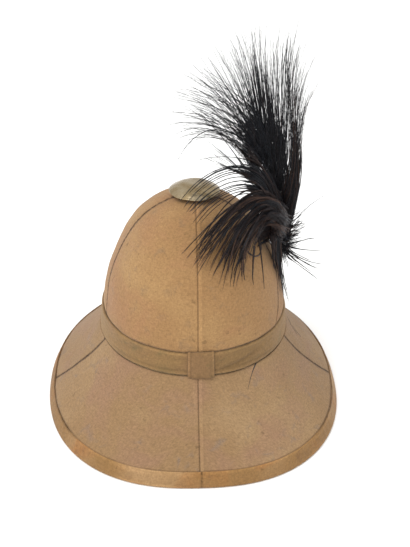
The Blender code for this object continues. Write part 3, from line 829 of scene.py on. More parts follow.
@dataclass
class Binding:
    """The cloth strip folded round the rim, with its flat worn underside."""

    form: HatForm
    finish: ClothFinish
    proud: float = 0.5 * MM
    thickness: float = 1.5 * MM
    inner_offset: float = -8.0 * MM
    inner_start: float = 4.5 * MM
    columns: int = 720
    joint_turn: float = 270.5
    side_turns: tuple[float, float] = (38.0, 52.0)

    def section(self) -> Array:
        """Closed section of the strip, as run outward and rise from the crease.

        It is the outline of a flat tube: down the outer face, round under the rim, up the
        inner face, over its edge and back along the inside of the fold.

        Returns:
            Points of the section, one row each, in order.
        """
        slope = math.hypot(self.form.edge_run_out, self.form.edge_drop)
        along = np.array([self.form.edge_run_out, -self.form.edge_drop]) / slope
        away = np.array([self.form.edge_drop, self.form.edge_run_out]) / slope

        def line(offset: float, start: float, low: float, count: int, bulge: float) -> Array:
            stop = (low - self.form.edge_drop - offset * away[1]) / along[1]
            travel = np.linspace(start, stop, count)
            swell = bulge * np.sin(math.pi * np.linspace(0, 1, count))
            return travel[:, None] * along + (offset + swell)[:, None] * away

        outer = line(self.proud, -0.6 * MM, 2.6 * MM, 9, 0.35 * MM)
        inner = line(self.inner_offset, self.inner_start, 2.2 * MM, 6, 0.0)
        turn = np.linspace(0.0, 1.0, 6)[1:-1, None]
        floor_out = np.array([outer[-1, 0] - 0.4 * MM, -self.form.edge_drop])
        floor_in = np.array([inner[-1, 0] + 1.2 * MM, -self.form.edge_drop])
        out_bend = self.bend(outer[-1], outer[-1] + along * 2.4 * MM, floor_out - [1.6 * MM, 0],
                             turn)
        in_bend = self.bend(floor_in, floor_in - [1.8 * MM, 0], inner[-1], turn)
        face = np.concatenate([outer, out_bend, [floor_out - [1.6 * MM, 0]], [floor_in], in_bend,
                               inner[::-1]])
        inside = self.inset(face)
        return np.concatenate([face, inside[::-1]])

    @staticmethod
    def bend(start: Array, corner: Array, end: Array, share: Array) -> Array:
        """Points on a quadratic curve from start to end, pulled to a corner."""
        return (1 - share) ** 2 * start + 2 * share * (1 - share) * corner + share ** 2 * end

    def inset(self, face: Array) -> Array:
        """The face moved to its inner side by the cloth's thickness."""
        run = np.gradient(face, axis=0)
        run /= np.linalg.norm(run, axis=1, keepdims=True)
        side = np.stack([run[:, 1], -run[:, 0]], axis=-1)
        return face + side * self.thickness

    def build(self) -> Piece:
        """Carry the section round the rim, with small tucks where the tape was eased.

        Returns:
            The binding.
        """
        section = self.section()
        angle = full_turn(self.columns)
        base = self.form.rim(angle) - self.form.edge_run_out
        radius = base[None, :] + section[:, :1]
        height = np.broadcast_to(self.form.edge_drop + section[:, 1:], radius.shape)
        points = polar(radius, angle, height)
        half = len(section) // 2
        place = np.arange(len(section))
        upper = np.where(place < 8, np.sin(math.pi * (place + 1) / 9.0), 0.0)[:, None]
        travel = np.cumsum(np.linalg.norm(np.diff(points[0], axis=0, append=points[0][:1]), axis=1))
        tuck = np.sin(2 * math.pi * travel / (6.5 * MM) + 3 * ripple(points[0], 40 * MM, 21))
        lift = upper * (0.13 * MM * tuck + 0.25 * MM * ripple(points[0], 30 * MM, 22))[None, :]
        outward = np.stack([np.cos(angle), np.sin(angle), 0.4 + 0 * angle], axis=-1)
        points = points + outward[None] * lift[..., None]
        rows = len(section)
        count = points.shape[1]
        index = np.arange(rows * count).reshape(rows, count)
        below, right = np.roll(index, -1, axis=0), np.roll(index, -1, axis=1)
        faces = np.stack([index, below, np.roll(below, -1, axis=1), right], axis=-1)
        across = np.cumsum(np.linalg.norm(np.diff(section, axis=0, prepend=section[:1]), axis=1))
        uv = np.stack(np.broadcast_arrays(travel[None, :], across[:, None]), axis=-1)
        # Seam mark: painted shade in the crease at the strip's top, strong at the sides and faint
        # at the rear; patchy stains, stronger underneath; dark stitch holes at the rear joint.
        grime_and_shade = np.where(place == 0, 1.0, np.where(place == 1, 0.3, 0.0))
        flank = self.form.flank(angle, *self.side_turns)
        side = 0.08 + 0.92 * flank
        mark = grime_and_shade[:, None] * side[None, :]
        worn = smooth_step(ripple(points, 55 * MM, 23) - 0.4)
        low = np.where((place > 8) & (place < half), 0.5, 0.12)[:, None]
        mark = np.maximum(mark, low * worn)
        middle = peak(np.degrees(angle) - self.joint_turn, 0.3)[None, :]
        holes = np.where(np.isin(place, (0, 1, 3, 5)), 1.0, 0.45)[:half, None]
        mark[:half] = np.maximum(mark[:half], holes * middle)
        # Rub mark: patchy pale wear along the strip's edges, and a painted highlight on the fold's
        # lip at the rear.
        pale = smooth_step(ripple(points, 48 * MM, 24) + 0.2)
        rub_and_highlight = np.where(np.isin(place, (1, 2, 8, 9)), 0.5, 0.0)[:, None] * pale
        fold = np.where(place == 0, 0.9, np.where(place == 1, 0.3, 0.0))[:, None]
        rub_and_highlight = np.maximum(rub_and_highlight, fold * (1 - flank)[None, :])
        piece = new_piece("rim_binding", points.reshape(-1, 3), faces.reshape(-1, 4),
                          uv.reshape(-1, 2), {"seam": mark, "rub_and_highlight": rub_and_highlight})
        return dress(piece, self.finish.material(), Slot.BINDING, "edge_binding")


@dataclass
class Band:
    """The band of folded cloth and the loop over it."""

    form: HatForm
    finish: ClothFinish
    proud: float = 1.2 * MM
    cloth: float = 1.0 * MM
    columns: int = 560
    fold_down: float = 17.0 * MM
    loop_width: float = 24.4 * MM
    loop_turn: float = 1.4
    loop_tab: float = 3.3 * MM
    loop_face: float = 2.7 * MM
    loop_cloth: float = 1.2 * MM
    loop_overhang: float = 1.6 * MM

    def cover(self, angle: Array, down: Array, out: Array) -> Array:
        """Point in the band's zone at a distance down from its upper edge and out of the cloth."""
        radius, height = self.form.band(angle, down / self.form.band_height)
        radius = radius + out
        return polar(radius, angle, height)

    def build_band(self) -> Piece:
        """Build the band: rounded folds at both edges, soft creases along it.

        Returns:
            The band.
        """
        angle = full_turn(self.columns)[None, :]
        share = np.linspace(0.0, 1.0, 26)[:, None]
        down = share * self.form.band_height
        angle, down = np.broadcast_arrays(angle, down)
        from_edge = np.minimum(down, self.form.band_height - down)
        round_edge = -1.0 * MM * (1 - np.sqrt(np.clip(from_edge / (1.6 * MM), 0, 1)))
        plain = self.cover(angle, down, 0.0)
        stretched = plain * np.array([1.0, 1.0, 3.5])
        flank = self.form.flank(angle, 44.0, 60.0) * smooth_step(share * 1.6)
        crease = 0.32 * MM * ripple(stretched, 34 * MM, 31)
        crease = crease + 0.1 * MM * ripple(stretched, 11 * MM, 32)
        fold = -0.35 * MM * peak(down - self.fold_down, 0.8 * MM)
        wrinkle = self.wrinkle(angle, down)
        relief = self.proud + round_edge + crease * 0.8 + fold + wrinkle
        outer = self.cover(angle, down, relief * (1 - 0.8 * flank))
        inner = self.cover(angle, down, -self.cloth)
        # Seam mark: painted shade as dark lines along both edges and in the fold's crease, faded
        # out at the sides, and painted shade in the loop's wrinkle.
        line = peak(down - self.fold_down, 0.9 * MM)
        seam = np.maximum(0.5 * np.exp(-from_edge / (0.35 * MM)), 0.3 * line) * (1 - flank)
        seam = np.maximum(seam, 0.35 * np.clip(-wrinkle / (0.8 * MM), 0, 1))
        # Rub mark: painted highlight on the rounded fold edges, faded out at the sides, and the
        # band paler towards its sides.
        rub_and_highlight = 0.6 * peak(from_edge - 1.3 * MM, 0.9 * MM) * (1 - flank)
        rub_and_highlight = np.maximum(rub_and_highlight, 0.4 * self.form.flank(angle, 25.0, 60.0))
        piece = slab("hat_band", outer, inner, True, {"seam": seam, "rub_and_highlight": rub_and_highlight})
        return dress(piece, self.material, Slot.BAND, "band")

    def wrinkle(self, angle: Array, down: Array) -> Array:
        """Depth of the slanting fold that the loop pulls into the band on its right."""
        turn = np.degrees(angle) - 270
        middle = 16.5 * MM - 0.42 * MM * (turn - 14)
        window = smooth_step((turn - 8) / 4) * (1 - smooth_step((turn - 26) / 14))
        return -0.9 * MM * window * peak(down - middle, 2.0 * MM)

    def build_loop(self) -> Piece:
        """Build the loop: a short cloth strip over the band, its ends turned in behind it.

        Returns:
            The loop.
        """
        tall = self.form.band_height + 2 * self.loop_overhang
        top = -self.loop_overhang
        foot, bend = 1.1 * MM, 1.3 * MM
        turn = np.linspace(0.0, math.pi / 2, 5)
        upper = np.stack([top + bend - bend * np.sin(turn[::-1]),
                          self.loop_face - bend + bend * np.cos(turn[::-1])], axis=-1)
        lower = np.stack([top + tall - bend + bend * np.sin(turn),
                          self.loop_face - bend + bend * np.cos(turn)], axis=-1)
        flat = np.linspace(top + bend, top + tall - bend, 16)[1:-1]
        middle = np.stack([flat, np.full_like(flat, self.loop_face)], axis=-1)
        path = np.concatenate([[[top, foot]], upper, middle, lower, [[top + tall, foot]]])
        half = self.loop_width / 2 / (self.form.crown_half_length + self.form.band_lean)
        centre = math.radians(REAR + self.loop_turn)
        across = np.linspace(-1.0, 1.0, 57)
        angle = centre + across * half
        down = np.broadcast_to(path[:, :1], (len(path), len(across)))
        out = np.broadcast_to(path[:, 1:], down.shape)
        grid = np.broadcast_to(angle[None, :], down.shape)
        plain = self.cover(grid, down, out)
        tab = 2 * self.loop_tab / self.loop_width - 1
        body = smooth_step((across - tab) / 0.05)
        sag = 0.3 * MM * ripple(plain, 13 * MM, 41)
        sag = sag + body * (0.3 * MM + 0.8 * MM * (1 - ((across - tab) / (1 - tab) * 2 - 1) ** 2))
        rolled = -0.6 * MM * smooth_step((np.abs(across) - 0.9) / 0.1)[None, :]
        corner = 1.5 * MM * smooth_step((np.abs(across) - 0.8) / 0.2) ** 2
        low = smooth_step((down - (top + tall - 5 * MM)) / (5 * MM))
        outer = self.cover(grid, down - low * corner,
                           out + np.where(out > 2 * MM, sag + rolled, 0.0))
        run = np.gradient(path, axis=0)
        run /= np.linalg.norm(run, axis=1, keepdims=True)
        inward = np.stack([-run[:, 1], run[:, 0]], axis=-1)
        inside = path - inward * self.loop_cloth
        inner = self.cover(grid, np.broadcast_to(inside[:, :1], down.shape),
                           np.broadcast_to(inside[:, 1:], down.shape))
        edge = 1 - np.abs(across)
        stitch = 0.6 + 0.4 * np.sin(2 * math.pi * down / (2.4 * MM))
        # Seam mark: painted shade along the side edges and on the lower end where the loop turns
        # under, and the stitching beside the tab.
        seam = np.maximum(0.6 * np.exp(-edge / 0.02)[None, :], 0.4 * low)
        seam = np.maximum(seam, 0.7 * stitch * peak(across - tab, 0.03))
        # Rub mark: painted highlight on the rolled side edges.
        rub_and_highlight = np.broadcast_to(0.6 * peak(edge - 0.1, 0.06)[None, :], down.shape)
        piece = slab("band_keeper", outer, inner, False, {"seam": seam, "rub_and_highlight": rub_and_highlight})
        return dress(piece, self.material, Slot.BAND, "band_loop")

    def build(self) -> list[Piece]:
        """Build the band and its loop."""
        self.material = self.finish.material()
        return [self.build_band(), self.build_loop()]


@dataclass
class Ventilator:
    """The domed cap over the vent hole, turned from thin metal."""

    finish: MetalFinish
    radius: float = 23.0 * MM
    rise: float = 6.5 * MM
    wall: float = 1.2 * MM
    rim_height: float = 206.6 * MM
    dome_power: float = 2.6
    columns: int = 128

    def dome_height(self, share: Array) -> Array:
        """Height at a share of the radius: rim height + rise * (1 - share^power)."""
        return self.rim_height + self.rise * (1 - share ** self.dome_power)

    def build(self) -> Piece:
        """Build the cap as a closed turned shape with a rolled lip and small dents.

        The profile goes from the middle of the top over the lip to the middle of the
        underside, and is turned about the upright axis.

        Returns:
            The cap.
        """
        share = np.linspace(0.0, 1.0, 26)[1:]
        over = np.stack([self.radius * share * 0.985,
                         self.wall + self.dome_height(share)], axis=-1)
        turn = np.linspace(0.2, 1.0, 8)[:, None] * math.pi
        lip_centre = np.array([self.radius * 0.985 - 0.1 * MM, self.rim_height + 0.45 * MM])
        lip = lip_centre + 0.75 * MM * np.concatenate([np.sin(turn), np.cos(turn)], axis=1)
        inside = share * 0.94
        under = np.stack([self.radius * inside, self.dome_height(inside)], axis=-1)[::-1]
        profile = np.concatenate([over, lip, under])
        angle = full_turn(self.columns)
        points = polar(profile[:, :1], angle, profile[:, 1:])
        dent = 0.16 * MM * ripple(points, 17 * MM, 51) + 0.06 * MM * ripple(points, 6 * MM, 52)
        points[..., 2] += dent
        top = np.array([[0.0, 0.0, self.rim_height + self.wall + self.rise + dent[0].mean()]])
        base = np.array([[0.0, 0.0, self.rim_height + self.rise + dent[-1].mean()]])
        rows, columns = points.shape[:2]
        quads = grid_faces(rows, columns, True)
        first, last = np.arange(columns), (rows - 1) * columns + np.arange(columns)
        pole = rows * columns
        fan_top = np.stack([np.full(columns, pole), first, np.roll(first, -1)], axis=-1)
        fan_base = np.stack([np.full(columns, pole + 1), np.roll(last, -1), last], axis=-1)
        split = np.concatenate([quads[:, [0, 1, 2]], quads[:, [0, 2, 3]], fan_top, fan_base])
        piece = new_piece("vent_cap", np.concatenate([points.reshape(-1, 3), top, base]), split)
        metal = self.finish.material()
        for node in ("ventilator_collar", "plume_socket"):
            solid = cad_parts[node]
            solid.data.materials.clear()
            solid.data.materials.append(metal)
        return dress(piece, metal, Slot.METAL, "ventilator_cap")


@dataclass(frozen=True)
class Tuft:
    """A fan of barbs, in clumps, between guide curves.

    Each guide is a cubic curve with four points: root, first pull, second pull and tip, in
    millimetres in the hat's frame. A clump lies between two neighbouring guides, or follows
    one guide where the tuft's guides stand apart. Its barbs start loosely about it and
    gather towards its tip.
    """

    name: str
    guides: tuple[tuple[tuple[float, float, float], ...], ...]
    clumps: int
    barbs: int
    thickness_mm: float
    gather: float = 0.86
    loose_mm: float = 2.4
    stray_mm: float = 3.0
    shortest: float = 0.5
    wave_mm: float = 1.2
    brown: tuple[float, float] = (0.0, 0.6)
    apart: bool = False


@dataclass
class Plume:
    """The cock-feather plume: thousands of barbs laid in tufts from one head."""

    finish: FeatherFinish
    tufts: Sequence[Tuft]
    ceiling_mm: float = 364.0
    crown_gap: float = 2.0 * MM
    wall_gap: float = 4.0 * MM
    cap_radius: float = 25.0 * MM
    cap_top: float = 217.0 * MM
    rings: int = 8

    def paths(self, tuft: Tuft, random: np.random.Generator) -> tuple[Array, Array]:
        """Lay the barbs of a tuft.

        Each clump has a curve of its own: its place s between the guides blends their
        points, and each point strays at random. A barb is that curve, up to a length of its
        own, plus a loose offset that shrinks by the tuft's gather, plus a slow sine wave.

        Args:
            tuft: the tuft.
            random: source of random numbers.

        Returns:
            Points of each barb in metres (barbs, rings, xyz), and its clump's number.
        """
        guides = np.array(tuft.guides, float)
        spans = len(guides) - 1
        jitter = random.uniform(0.1, 0.9, tuft.clumps)
        place = np.clip((np.arange(tuft.clumps) + jitter) / tuft.clumps, 0, 1) * spans
        if tuft.apart:
            place = (np.arange(tuft.clumps) % len(guides)).astype(float)
        low = np.clip(place.astype(int), 0, spans - 1)
        share = (place - low)[:, None, None]
        control = guides[low] * (1 - share) + guides[low + 1] * share
        scale = tuft.stray_mm * np.array([0.7, 0.6, 0.8, 1.0])[:, None]
        control += np.clip(random.normal(0, 1, control.shape), -2, 2) * scale
        control[..., 2] = np.minimum(control[..., 2], self.ceiling_mm)
        count = tuft.clumps * tuft.barbs
        own = np.arange(count) // tuft.barbs
        reach = 1 - (1 - tuft.shortest) * random.random(tuft.clumps) ** 1.8
        length = reach[own] * random.uniform(0.8, 1.0, count)
        along = np.linspace(0, 1, self.rings)[None, :] * length[:, None]
        offset = np.clip(random.normal(0, 1, (count, 4, 3)), -2, 2) * tuft.loose_mm
        pull = 1 - tuft.gather * smooth_step(along / reach[own][:, None] * 2.2)
        path = self.cubic(control[own], along) + self.cubic(offset, along) * pull[..., None]
        phase = random.uniform(0, 2 * math.pi, (tuft.clumps, 1))[own]
        bend = random.normal(0, 1, (tuft.clumps, 1, 3))
        bend = (bend / np.linalg.norm(bend, axis=-1, keepdims=True))[own]
        pace = random.uniform(4.0, 9.0, (tuft.clumps, 1))[own]
        swing = np.sin(phase + along * pace) * along * tuft.wave_mm
        return (path + bend * swing[..., None]) * MM, own

    @staticmethod
    def cubic(control: Array, share: Array) -> Array:
        """Points on cubic curves with four control points each, at shares of their length."""
        left = 1 - share
        weights = (left ** 3, 3 * left ** 2 * share, 3 * left * share ** 2, share ** 3)
        return sum(weight[..., None] * control[:, None, index]
                   for index, weight in enumerate(weights))

    def clear_of_crown(self, path: Array, form: HatForm) -> Array:
        """Push points that would enter the crown or the cap out of them, away from the axis."""
        gap, height = self.crown_gap, path[..., 2]
        radius = np.linalg.norm(path[..., :2], axis=-1)
        angle = np.arctan2(path[..., 1], path[..., 0])
        high = height - form.crown_upright_height - gap * 0.5
        share = np.clip(high / (form.crown_top - form.crown_upright_height), 0, 1)
        wall = form.crown_plan(angle) * (1 - share ** form.crown_round_up) ** (
            1 / form.crown_round_across)
        over_cap = (radius < self.cap_radius) & (height < self.cap_top)
        short = np.where(height < form.crown_top + gap, np.maximum(wall + gap - radius, 0), 0)
        upright = np.maximum(form.crown_plan(angle) + self.wall_gap - radius, 0)
        short = np.where(height < form.band_top_side, upright, short)
        push = short / np.maximum(radius, 1 * MM)
        moved = path.copy()
        moved[..., :2] *= (1 + push)[..., None]
        moved[..., 2] = np.where(over_cap, self.cap_top, moved[..., 2])
        return moved

    def barbs(self, name: str, path: Array, thickness: Array, tone: Array) -> Piece:
        """Make closed three-sided tapering tubes along paths.

        At each ring three corners stand around the path, square to its direction; the ring
        shrinks from the root to the tip as (1 - t)^0.35.

        Args:
            name: name of the piece.
            path: points of each barb.
            thickness: widest radius of each barb.
            tone: tone mark of each barb.

        Returns:
            The new piece.
        """
        count, rings = path.shape[:2]
        run = np.gradient(path, axis=1)
        run /= np.maximum(np.linalg.norm(run, axis=-1, keepdims=True), 1e-9)
        helper = np.array([0.31, 0.93, 0.2]) / np.linalg.norm([0.31, 0.93, 0.2])
        side = np.cross(run, helper)
        side /= np.linalg.norm(side, axis=-1, keepdims=True)
        other = np.cross(run, side)
        along = np.linspace(0, 1, rings)[None, :]
        radius = thickness[:, None] * np.maximum((1 - along) ** 0.35, 0.3)
        turns = np.arange(3) * 2 * math.pi / 3
        corners = path[:, :, None, :] + radius[:, :, None, None] * (
            np.cos(turns)[:, None] * side[:, :, None, :]
            + np.sin(turns)[:, None] * other[:, :, None, :])
        index = np.arange(count * rings * 3).reshape(count, rings, 3)
        after = np.roll(index, -1, axis=2)
        near, far = index[:, :-1], index[:, 1:]
        near_after, far_after = after[:, :-1], after[:, 1:]
        sides = np.concatenate([np.stack([near, near_after, far_after], axis=-1).reshape(-1, 3),
                                np.stack([near, far_after, far], axis=-1).reshape(-1, 3)])
        caps = np.concatenate([index[:, 0, ::-1], index[:, -1]])
        marks = {"tone": np.repeat(tone, rings * 3)}
        return new_piece(name, corners.reshape(-1, 3), np.concatenate([sides, caps]), None, marks)

    def build(self, form: HatForm) -> list[Piece]:
        """Build every tuft as one piece.

        Args:
            form: the hat's form, which the barbs stay clear of.

        Returns:
            The new pieces.
        """
        material = self.finish.material()
        pieces = []
        for number, tuft in enumerate(self.tufts):
            random = np.random.default_rng(100 + number)
            path, own = self.paths(tuft, random)
            path = self.clear_of_crown(path, form)
            spread_out = random.uniform(0.75, 1.25, len(own))
            tone = random.uniform(*tuft.brown, tuft.clumps)[own] + random.normal(0, 0.1, len(own))
            piece = self.barbs(tuft.name, path, tuft.thickness_mm * MM / 2 * spread_out, tone)
            pieces.append(dress(piece, material, Slot.FEATHERS, "plume"))
        return pieces


TUFTS = (
    Tuft("plume_core", (
        ((82, -2, 159), (61, -6, 215), (56, -3, 268), (42, -4, 318)),
        ((82, -2, 159), (66, -5, 220), (58, 1, 279), (47, -2, 334)),
        ((84, 0, 158), (72, -1, 217), (64, 3, 275), (56, 1, 338)),
        ((85, 1, 158), (85, 2, 215), (67, 4, 268), (64, 3, 318)),
        ((86, 1, 158), (94, 4, 207), (79, 5, 250), (72, 4, 290))),
        clumps=44, barbs=20, thickness_mm=0.42, gather=0.85, loose_mm=2.4, stray_mm=1.8,
        shortest=0.5),
    Tuft("plume_rise", (
        ((57, -6, 219), (35, -8, 240), (24, -11, 272), (-7, -16, 281)),
        ((59, -4, 247), (36, -5, 271), (17, -12, 309), (-24, -12, 306)),
        ((60, -3, 232), (49, -5, 271), (27, -4, 307), (6, -4, 345)),
        ((61, -2, 246), (50, -4, 283), (40, -3, 320), (20, -3, 358)),
        ((62, -1, 246), (56, -1, 285), (47, -1, 324), (36, -1, 366)),
        ((65, 0, 236), (63, 0, 279), (53, 0, 322), (47, 0, 369)),
        ((68, 0, 226), (68, 2, 272), (59, 1, 318), (59, 1, 369)),
        ((70, 1, 216), (77, 1, 265), (64, 4, 315), (72, 3, 369)),
        ((73, 1, 206), (85, 3, 258), (71, 5, 310), (82, 4, 367)),
        ((77, 2, 200), (90, 4, 252), (78, 6, 306), (92, 5, 362))),
        clumps=140, barbs=5, thickness_mm=0.34, gather=0.92, loose_mm=1.2, stray_mm=4.6,
        shortest=0.66),
    Tuft("plume_right", (
        ((78, 0, 191), (99, 1, 248), (72, 6, 304), (74, 4, 361)),
        ((81, 0, 191), (105, 4, 247), (70, 6, 302), (89, 6, 362)),
        ((83, 1, 187), (105, 5, 238), (73, 6, 292), (104, 8, 347)),
        ((85, 1, 183), (103, 5, 229), (79, 6, 281), (119, 8, 326)),
        ((84, 1, 180), (97, 4, 214), (85, 7, 251), (105, 8, 286))),
        clumps=56, barbs=5, thickness_mm=0.34, gather=0.92, loose_mm=1.2, stray_mm=3.0,
        shortest=0.66, brown=(0.1, 0.9)),
    Tuft("plume_right_roots", (
        ((82, 1, 160), (92, 3, 190), (96, 3, 225), (84, 4, 262)),
        ((85, 1, 160), (97, 4, 190), (101, 4, 222), (92, 5, 256))),
        clumps=26, barbs=12, thickness_mm=0.42, gather=0.8, loose_mm=2.2, stray_mm=2.2,
        shortest=0.5, brown=(0.3, 1.0)),
    Tuft("plume_left", (
        ((56, -4, 223), (47, -10, 249), (3, -16, 290), (-21, -18, 238)),
        ((57, -4, 233), (43, -7, 262), (4, -15, 288), (-31, -16, 263)),
        ((58, -3, 242), (42, -8, 277), (0, -13, 291), (-37, -12, 289)),
        ((59, -3, 256), (44, -5, 290), (4, -9, 303), (-30, -8, 309)),
        ((58, -2, 270), (47, -5, 301), (14, -5, 316), (-12, -6, 334))),
        clumps=64, barbs=5, thickness_mm=0.32, gather=0.92, loose_mm=1.2, stray_mm=4.4,
        shortest=0.55),
    Tuft("plume_haze", (
        ((59, -4, 215), (40, -10, 252), (6, -14, 286), (-32, -16, 280)),
        ((60, -4, 240), (46, -8, 272), (18, -10, 312), (-14, -10, 326)),
        ((61, -2, 246), (52, -4, 283), (38, -3, 320), (20, -3, 360)),
        ((68, 0, 226), (68, 2, 272), (59, 1, 318), (59, 1, 370)),
        ((80, 1, 195), (97, 4, 245), (74, 6, 300), (92, 6, 356)),
        ((84, 1, 183), (103, 5, 229), (80, 6, 278), (116, 8, 318))),
        clumps=480, barbs=1, thickness_mm=0.24, gather=0.9, loose_mm=3.0, stray_mm=7.0,
        shortest=0.7),
    Tuft("plume_wisps", (
        ((56, -10, 219), (41, -19, 236), (22, -37, 245), (-3, -40, 248)),
        ((51, -12, 222), (37, -25, 235), (18, -35, 246), (1, -38, 261)),
        ((47, -12, 225), (35, -21, 241), (23, -30, 257), (8, -32, 273))),
        clumps=22, barbs=3, thickness_mm=0.36, loose_mm=1.0, stray_mm=1.6, shortest=0.5),
    Tuft("plume_over_cap", (
        ((63, -8, 214), (53, -18, 251), (7, -50, 258), (-16, -56, 223)),
        ((63, -9, 212), (50, -22, 248), (9, -54, 255), (-14, -59, 216)),
        ((63, -14, 210), (48, -28, 239), (12, -60, 247), (-12, -62, 208)),
        ((64, -15, 206), (48, -32, 234), (13, -63, 240), (-10, -66, 200)),
        ((65, -18, 202), (49, -36, 229), (14, -67, 233), (-7, -72, 194))),
        clumps=15, barbs=26, thickness_mm=0.42, gather=0.88, loose_mm=1.6, stray_mm=0.6,
        shortest=0.8, wave_mm=0.3, brown=(0.1, 0.7)),
    Tuft("plume_arc_roots", (
        ((74, -6, 202), (67, -8, 226), (59, -10, 246), (40, -14, 262)),
        ((70, -10, 200), (63, -14, 226), (52, -22, 240), (34, -34, 244)),
        ((71, -12, 194), (63, -18, 218), (54, -28, 234), (36, -40, 240)),
        ((72, -14, 188), (64, -22, 210), (56, -32, 228), (38, -46, 234))),
        clumps=50, barbs=14, thickness_mm=0.42, gather=0.8, loose_mm=2.4, stray_mm=3.0,
        shortest=0.5, brown=(0.1, 0.8)),
    Tuft("plume_fall", (
        ((72, -14, 187), (59, -24, 241), (16, -67, 218), (-6, -72, 182)),
        ((73, -15, 186), (59, -30, 241), (16, -69, 206), (-4, -80, 172)),
        ((74, -16, 184), (58, -35, 239), (22, -70, 196), (6, -84, 166)),
        ((75, -17, 183), (60, -37, 232), (29, -68, 190), (18, -85, 160)),
        ((76, -18, 181), (64, -38, 222), (33, -69, 188), (30, -84, 158)),
        ((77, -18, 179), (65, -37, 211), (38, -67, 190), (40, -80, 158))),
        clumps=130, barbs=20, thickness_mm=0.42, gather=0.88, loose_mm=2.4, stray_mm=5.4,
        shortest=0.6, brown=(0.2, 0.95)),
    Tuft("plume_vane", (
        ((68, -12, 197), (60, -23, 208), (53, -40, 220), (43, -54, 209)),
        ((71, -14, 191), (62, -24, 200), (55, -39, 206), (46, -50, 195)),
        ((74, -16, 183), (65, -26, 190), (59, -37, 195), (49, -46, 187)),
        ((77, -16, 175), (69, -24, 181), (58, -32, 186), (55, -40, 180)),
        ((80, -14, 164), (74, -24, 168), (62, -33, 173), (56, -38, 166))),
        clumps=76, barbs=16, thickness_mm=0.6, gather=0.7, stray_mm=2.0, shortest=0.7,
        wave_mm=0.5, brown=(0.2, 0.8)),
    Tuft("plume_mass", (
        ((76, -6, 194), (70, -18, 181), (70, -27, 165), (68, -30, 147)),
        ((80, -4, 182), (74, -22, 168), (76, -21, 141), (77, -26, 121)),
        ((82, -3, 172), (76, -23, 156), (85, -17, 122), (86, -22, 101))),
        clumps=30, barbs=16, thickness_mm=0.42, stray_mm=2.6, shortest=0.45, brown=(0.1, 0.8)),
    Tuft("plume_fluff", (
        ((79, -2, 164), (86, 0, 171), (97, 3, 173), (103, 3, 181)),
        ((82, -2, 159), (88, 0, 165), (101, 3, 161), (104, 3, 171)),
        ((82, -3, 154), (89, -3, 154), (96, 1, 157), (101, 1, 162)),
        ((82, -4, 149), (89, -3, 146), (99, -2, 147), (101, -1, 154))),
        clumps=70, barbs=4, thickness_mm=0.3, loose_mm=1.6, stray_mm=4.0, shortest=0.4,
        wave_mm=2.4, brown=(0.0, 1.0)),
    Tuft("plume_side_tufts", (
        ((81, 0, 154), (82, 1, 169), (88, 2, 179), (101, 3, 185)),
        ((82, 0, 154), (86, 0, 164), (93, 0, 172), (103, 0, 176)),
        ((82, -1, 154), (88, -2, 159), (95, -3, 162), (103, -4, 163)),
        ((83, -1, 151), (94, -3, 152), (104, -5, 154), (114, -6, 158)),
        ((83, -1, 149), (96, -3, 146), (110, -4, 144), (121, -5, 146)),
        ((83, -2, 148), (98, -4, 138), (112, -5, 130), (126, -6, 124)),
        ((82, -3, 147), (91, -5, 139), (100, -6, 132), (110, -8, 127)),
        ((82, -3, 146), (96, -5, 134), (110, -6, 123), (124, -6, 112)),
        ((81, -4, 146), (86, -7, 138), (89, -9, 130), (92, -10, 122)),
        ((80, -4, 146), (83, -7, 125), (88, -9, 106), (96, -10, 86)),
        ((79, -5, 146), (81, -9, 132), (83, -11, 118), (87, -12, 104))),
        clumps=33, barbs=9, thickness_mm=0.4, loose_mm=2.0, stray_mm=2.6, shortest=0.5,
        apart=True),
    Tuft("plume_hanging", (
        ((69, -30, 178), (68, -40, 167), (69, -43, 153), (72, -38, 137)),
        ((74, -24, 171), (77, -30, 152), (80, -30, 133), (82, -24, 113))),
        clumps=12, barbs=10, thickness_mm=0.42, stray_mm=2.6, shortest=0.4, brown=(0.1, 0.8)),
    Tuft("plume_curls", (
        ((43, -46, 183), (33, -73, 182), (68, -37, 140), (56, -42, 185)),
        ((55, -42, 181), (57, -56, 168), (59, -62, 152), (61, -62, 133)),
        ((40, -56, 185), (40, -64, 175), (40, -69, 164), (41, -70, 152)),
        ((51, -50, 175), (49, -60, 168), (49, -65, 158), (49, -66, 146))),
        clumps=4, barbs=5, thickness_mm=1.7, loose_mm=0.3, stray_mm=0.2, shortest=0.95,
        wave_mm=0.2, apart=True),
    Tuft("plume_single_barbs", (
        ((50, -8, 252), (21, -11, 278), (-1, -15, 275), (-17, -20, 242)),
        ((45, -12, 241), (30, -21, 249), (15, -28, 252), (-3, -34, 250)),
        ((48, -6, 262), (22, -9, 273), (-5, -11, 282), (-33, -14, 290)),
        ((85, 1, 156), (93, 3, 175), (106, 5, 189), (124, 6, 199)),
        ((49, -118, 98), (45, -123, 92), (43, -127, 86), (42, -130, 78))),
        clumps=5, barbs=4, thickness_mm=0.75, loose_mm=0.25, stray_mm=0.2, shortest=0.95,
        wave_mm=0.2, apart=True),
)


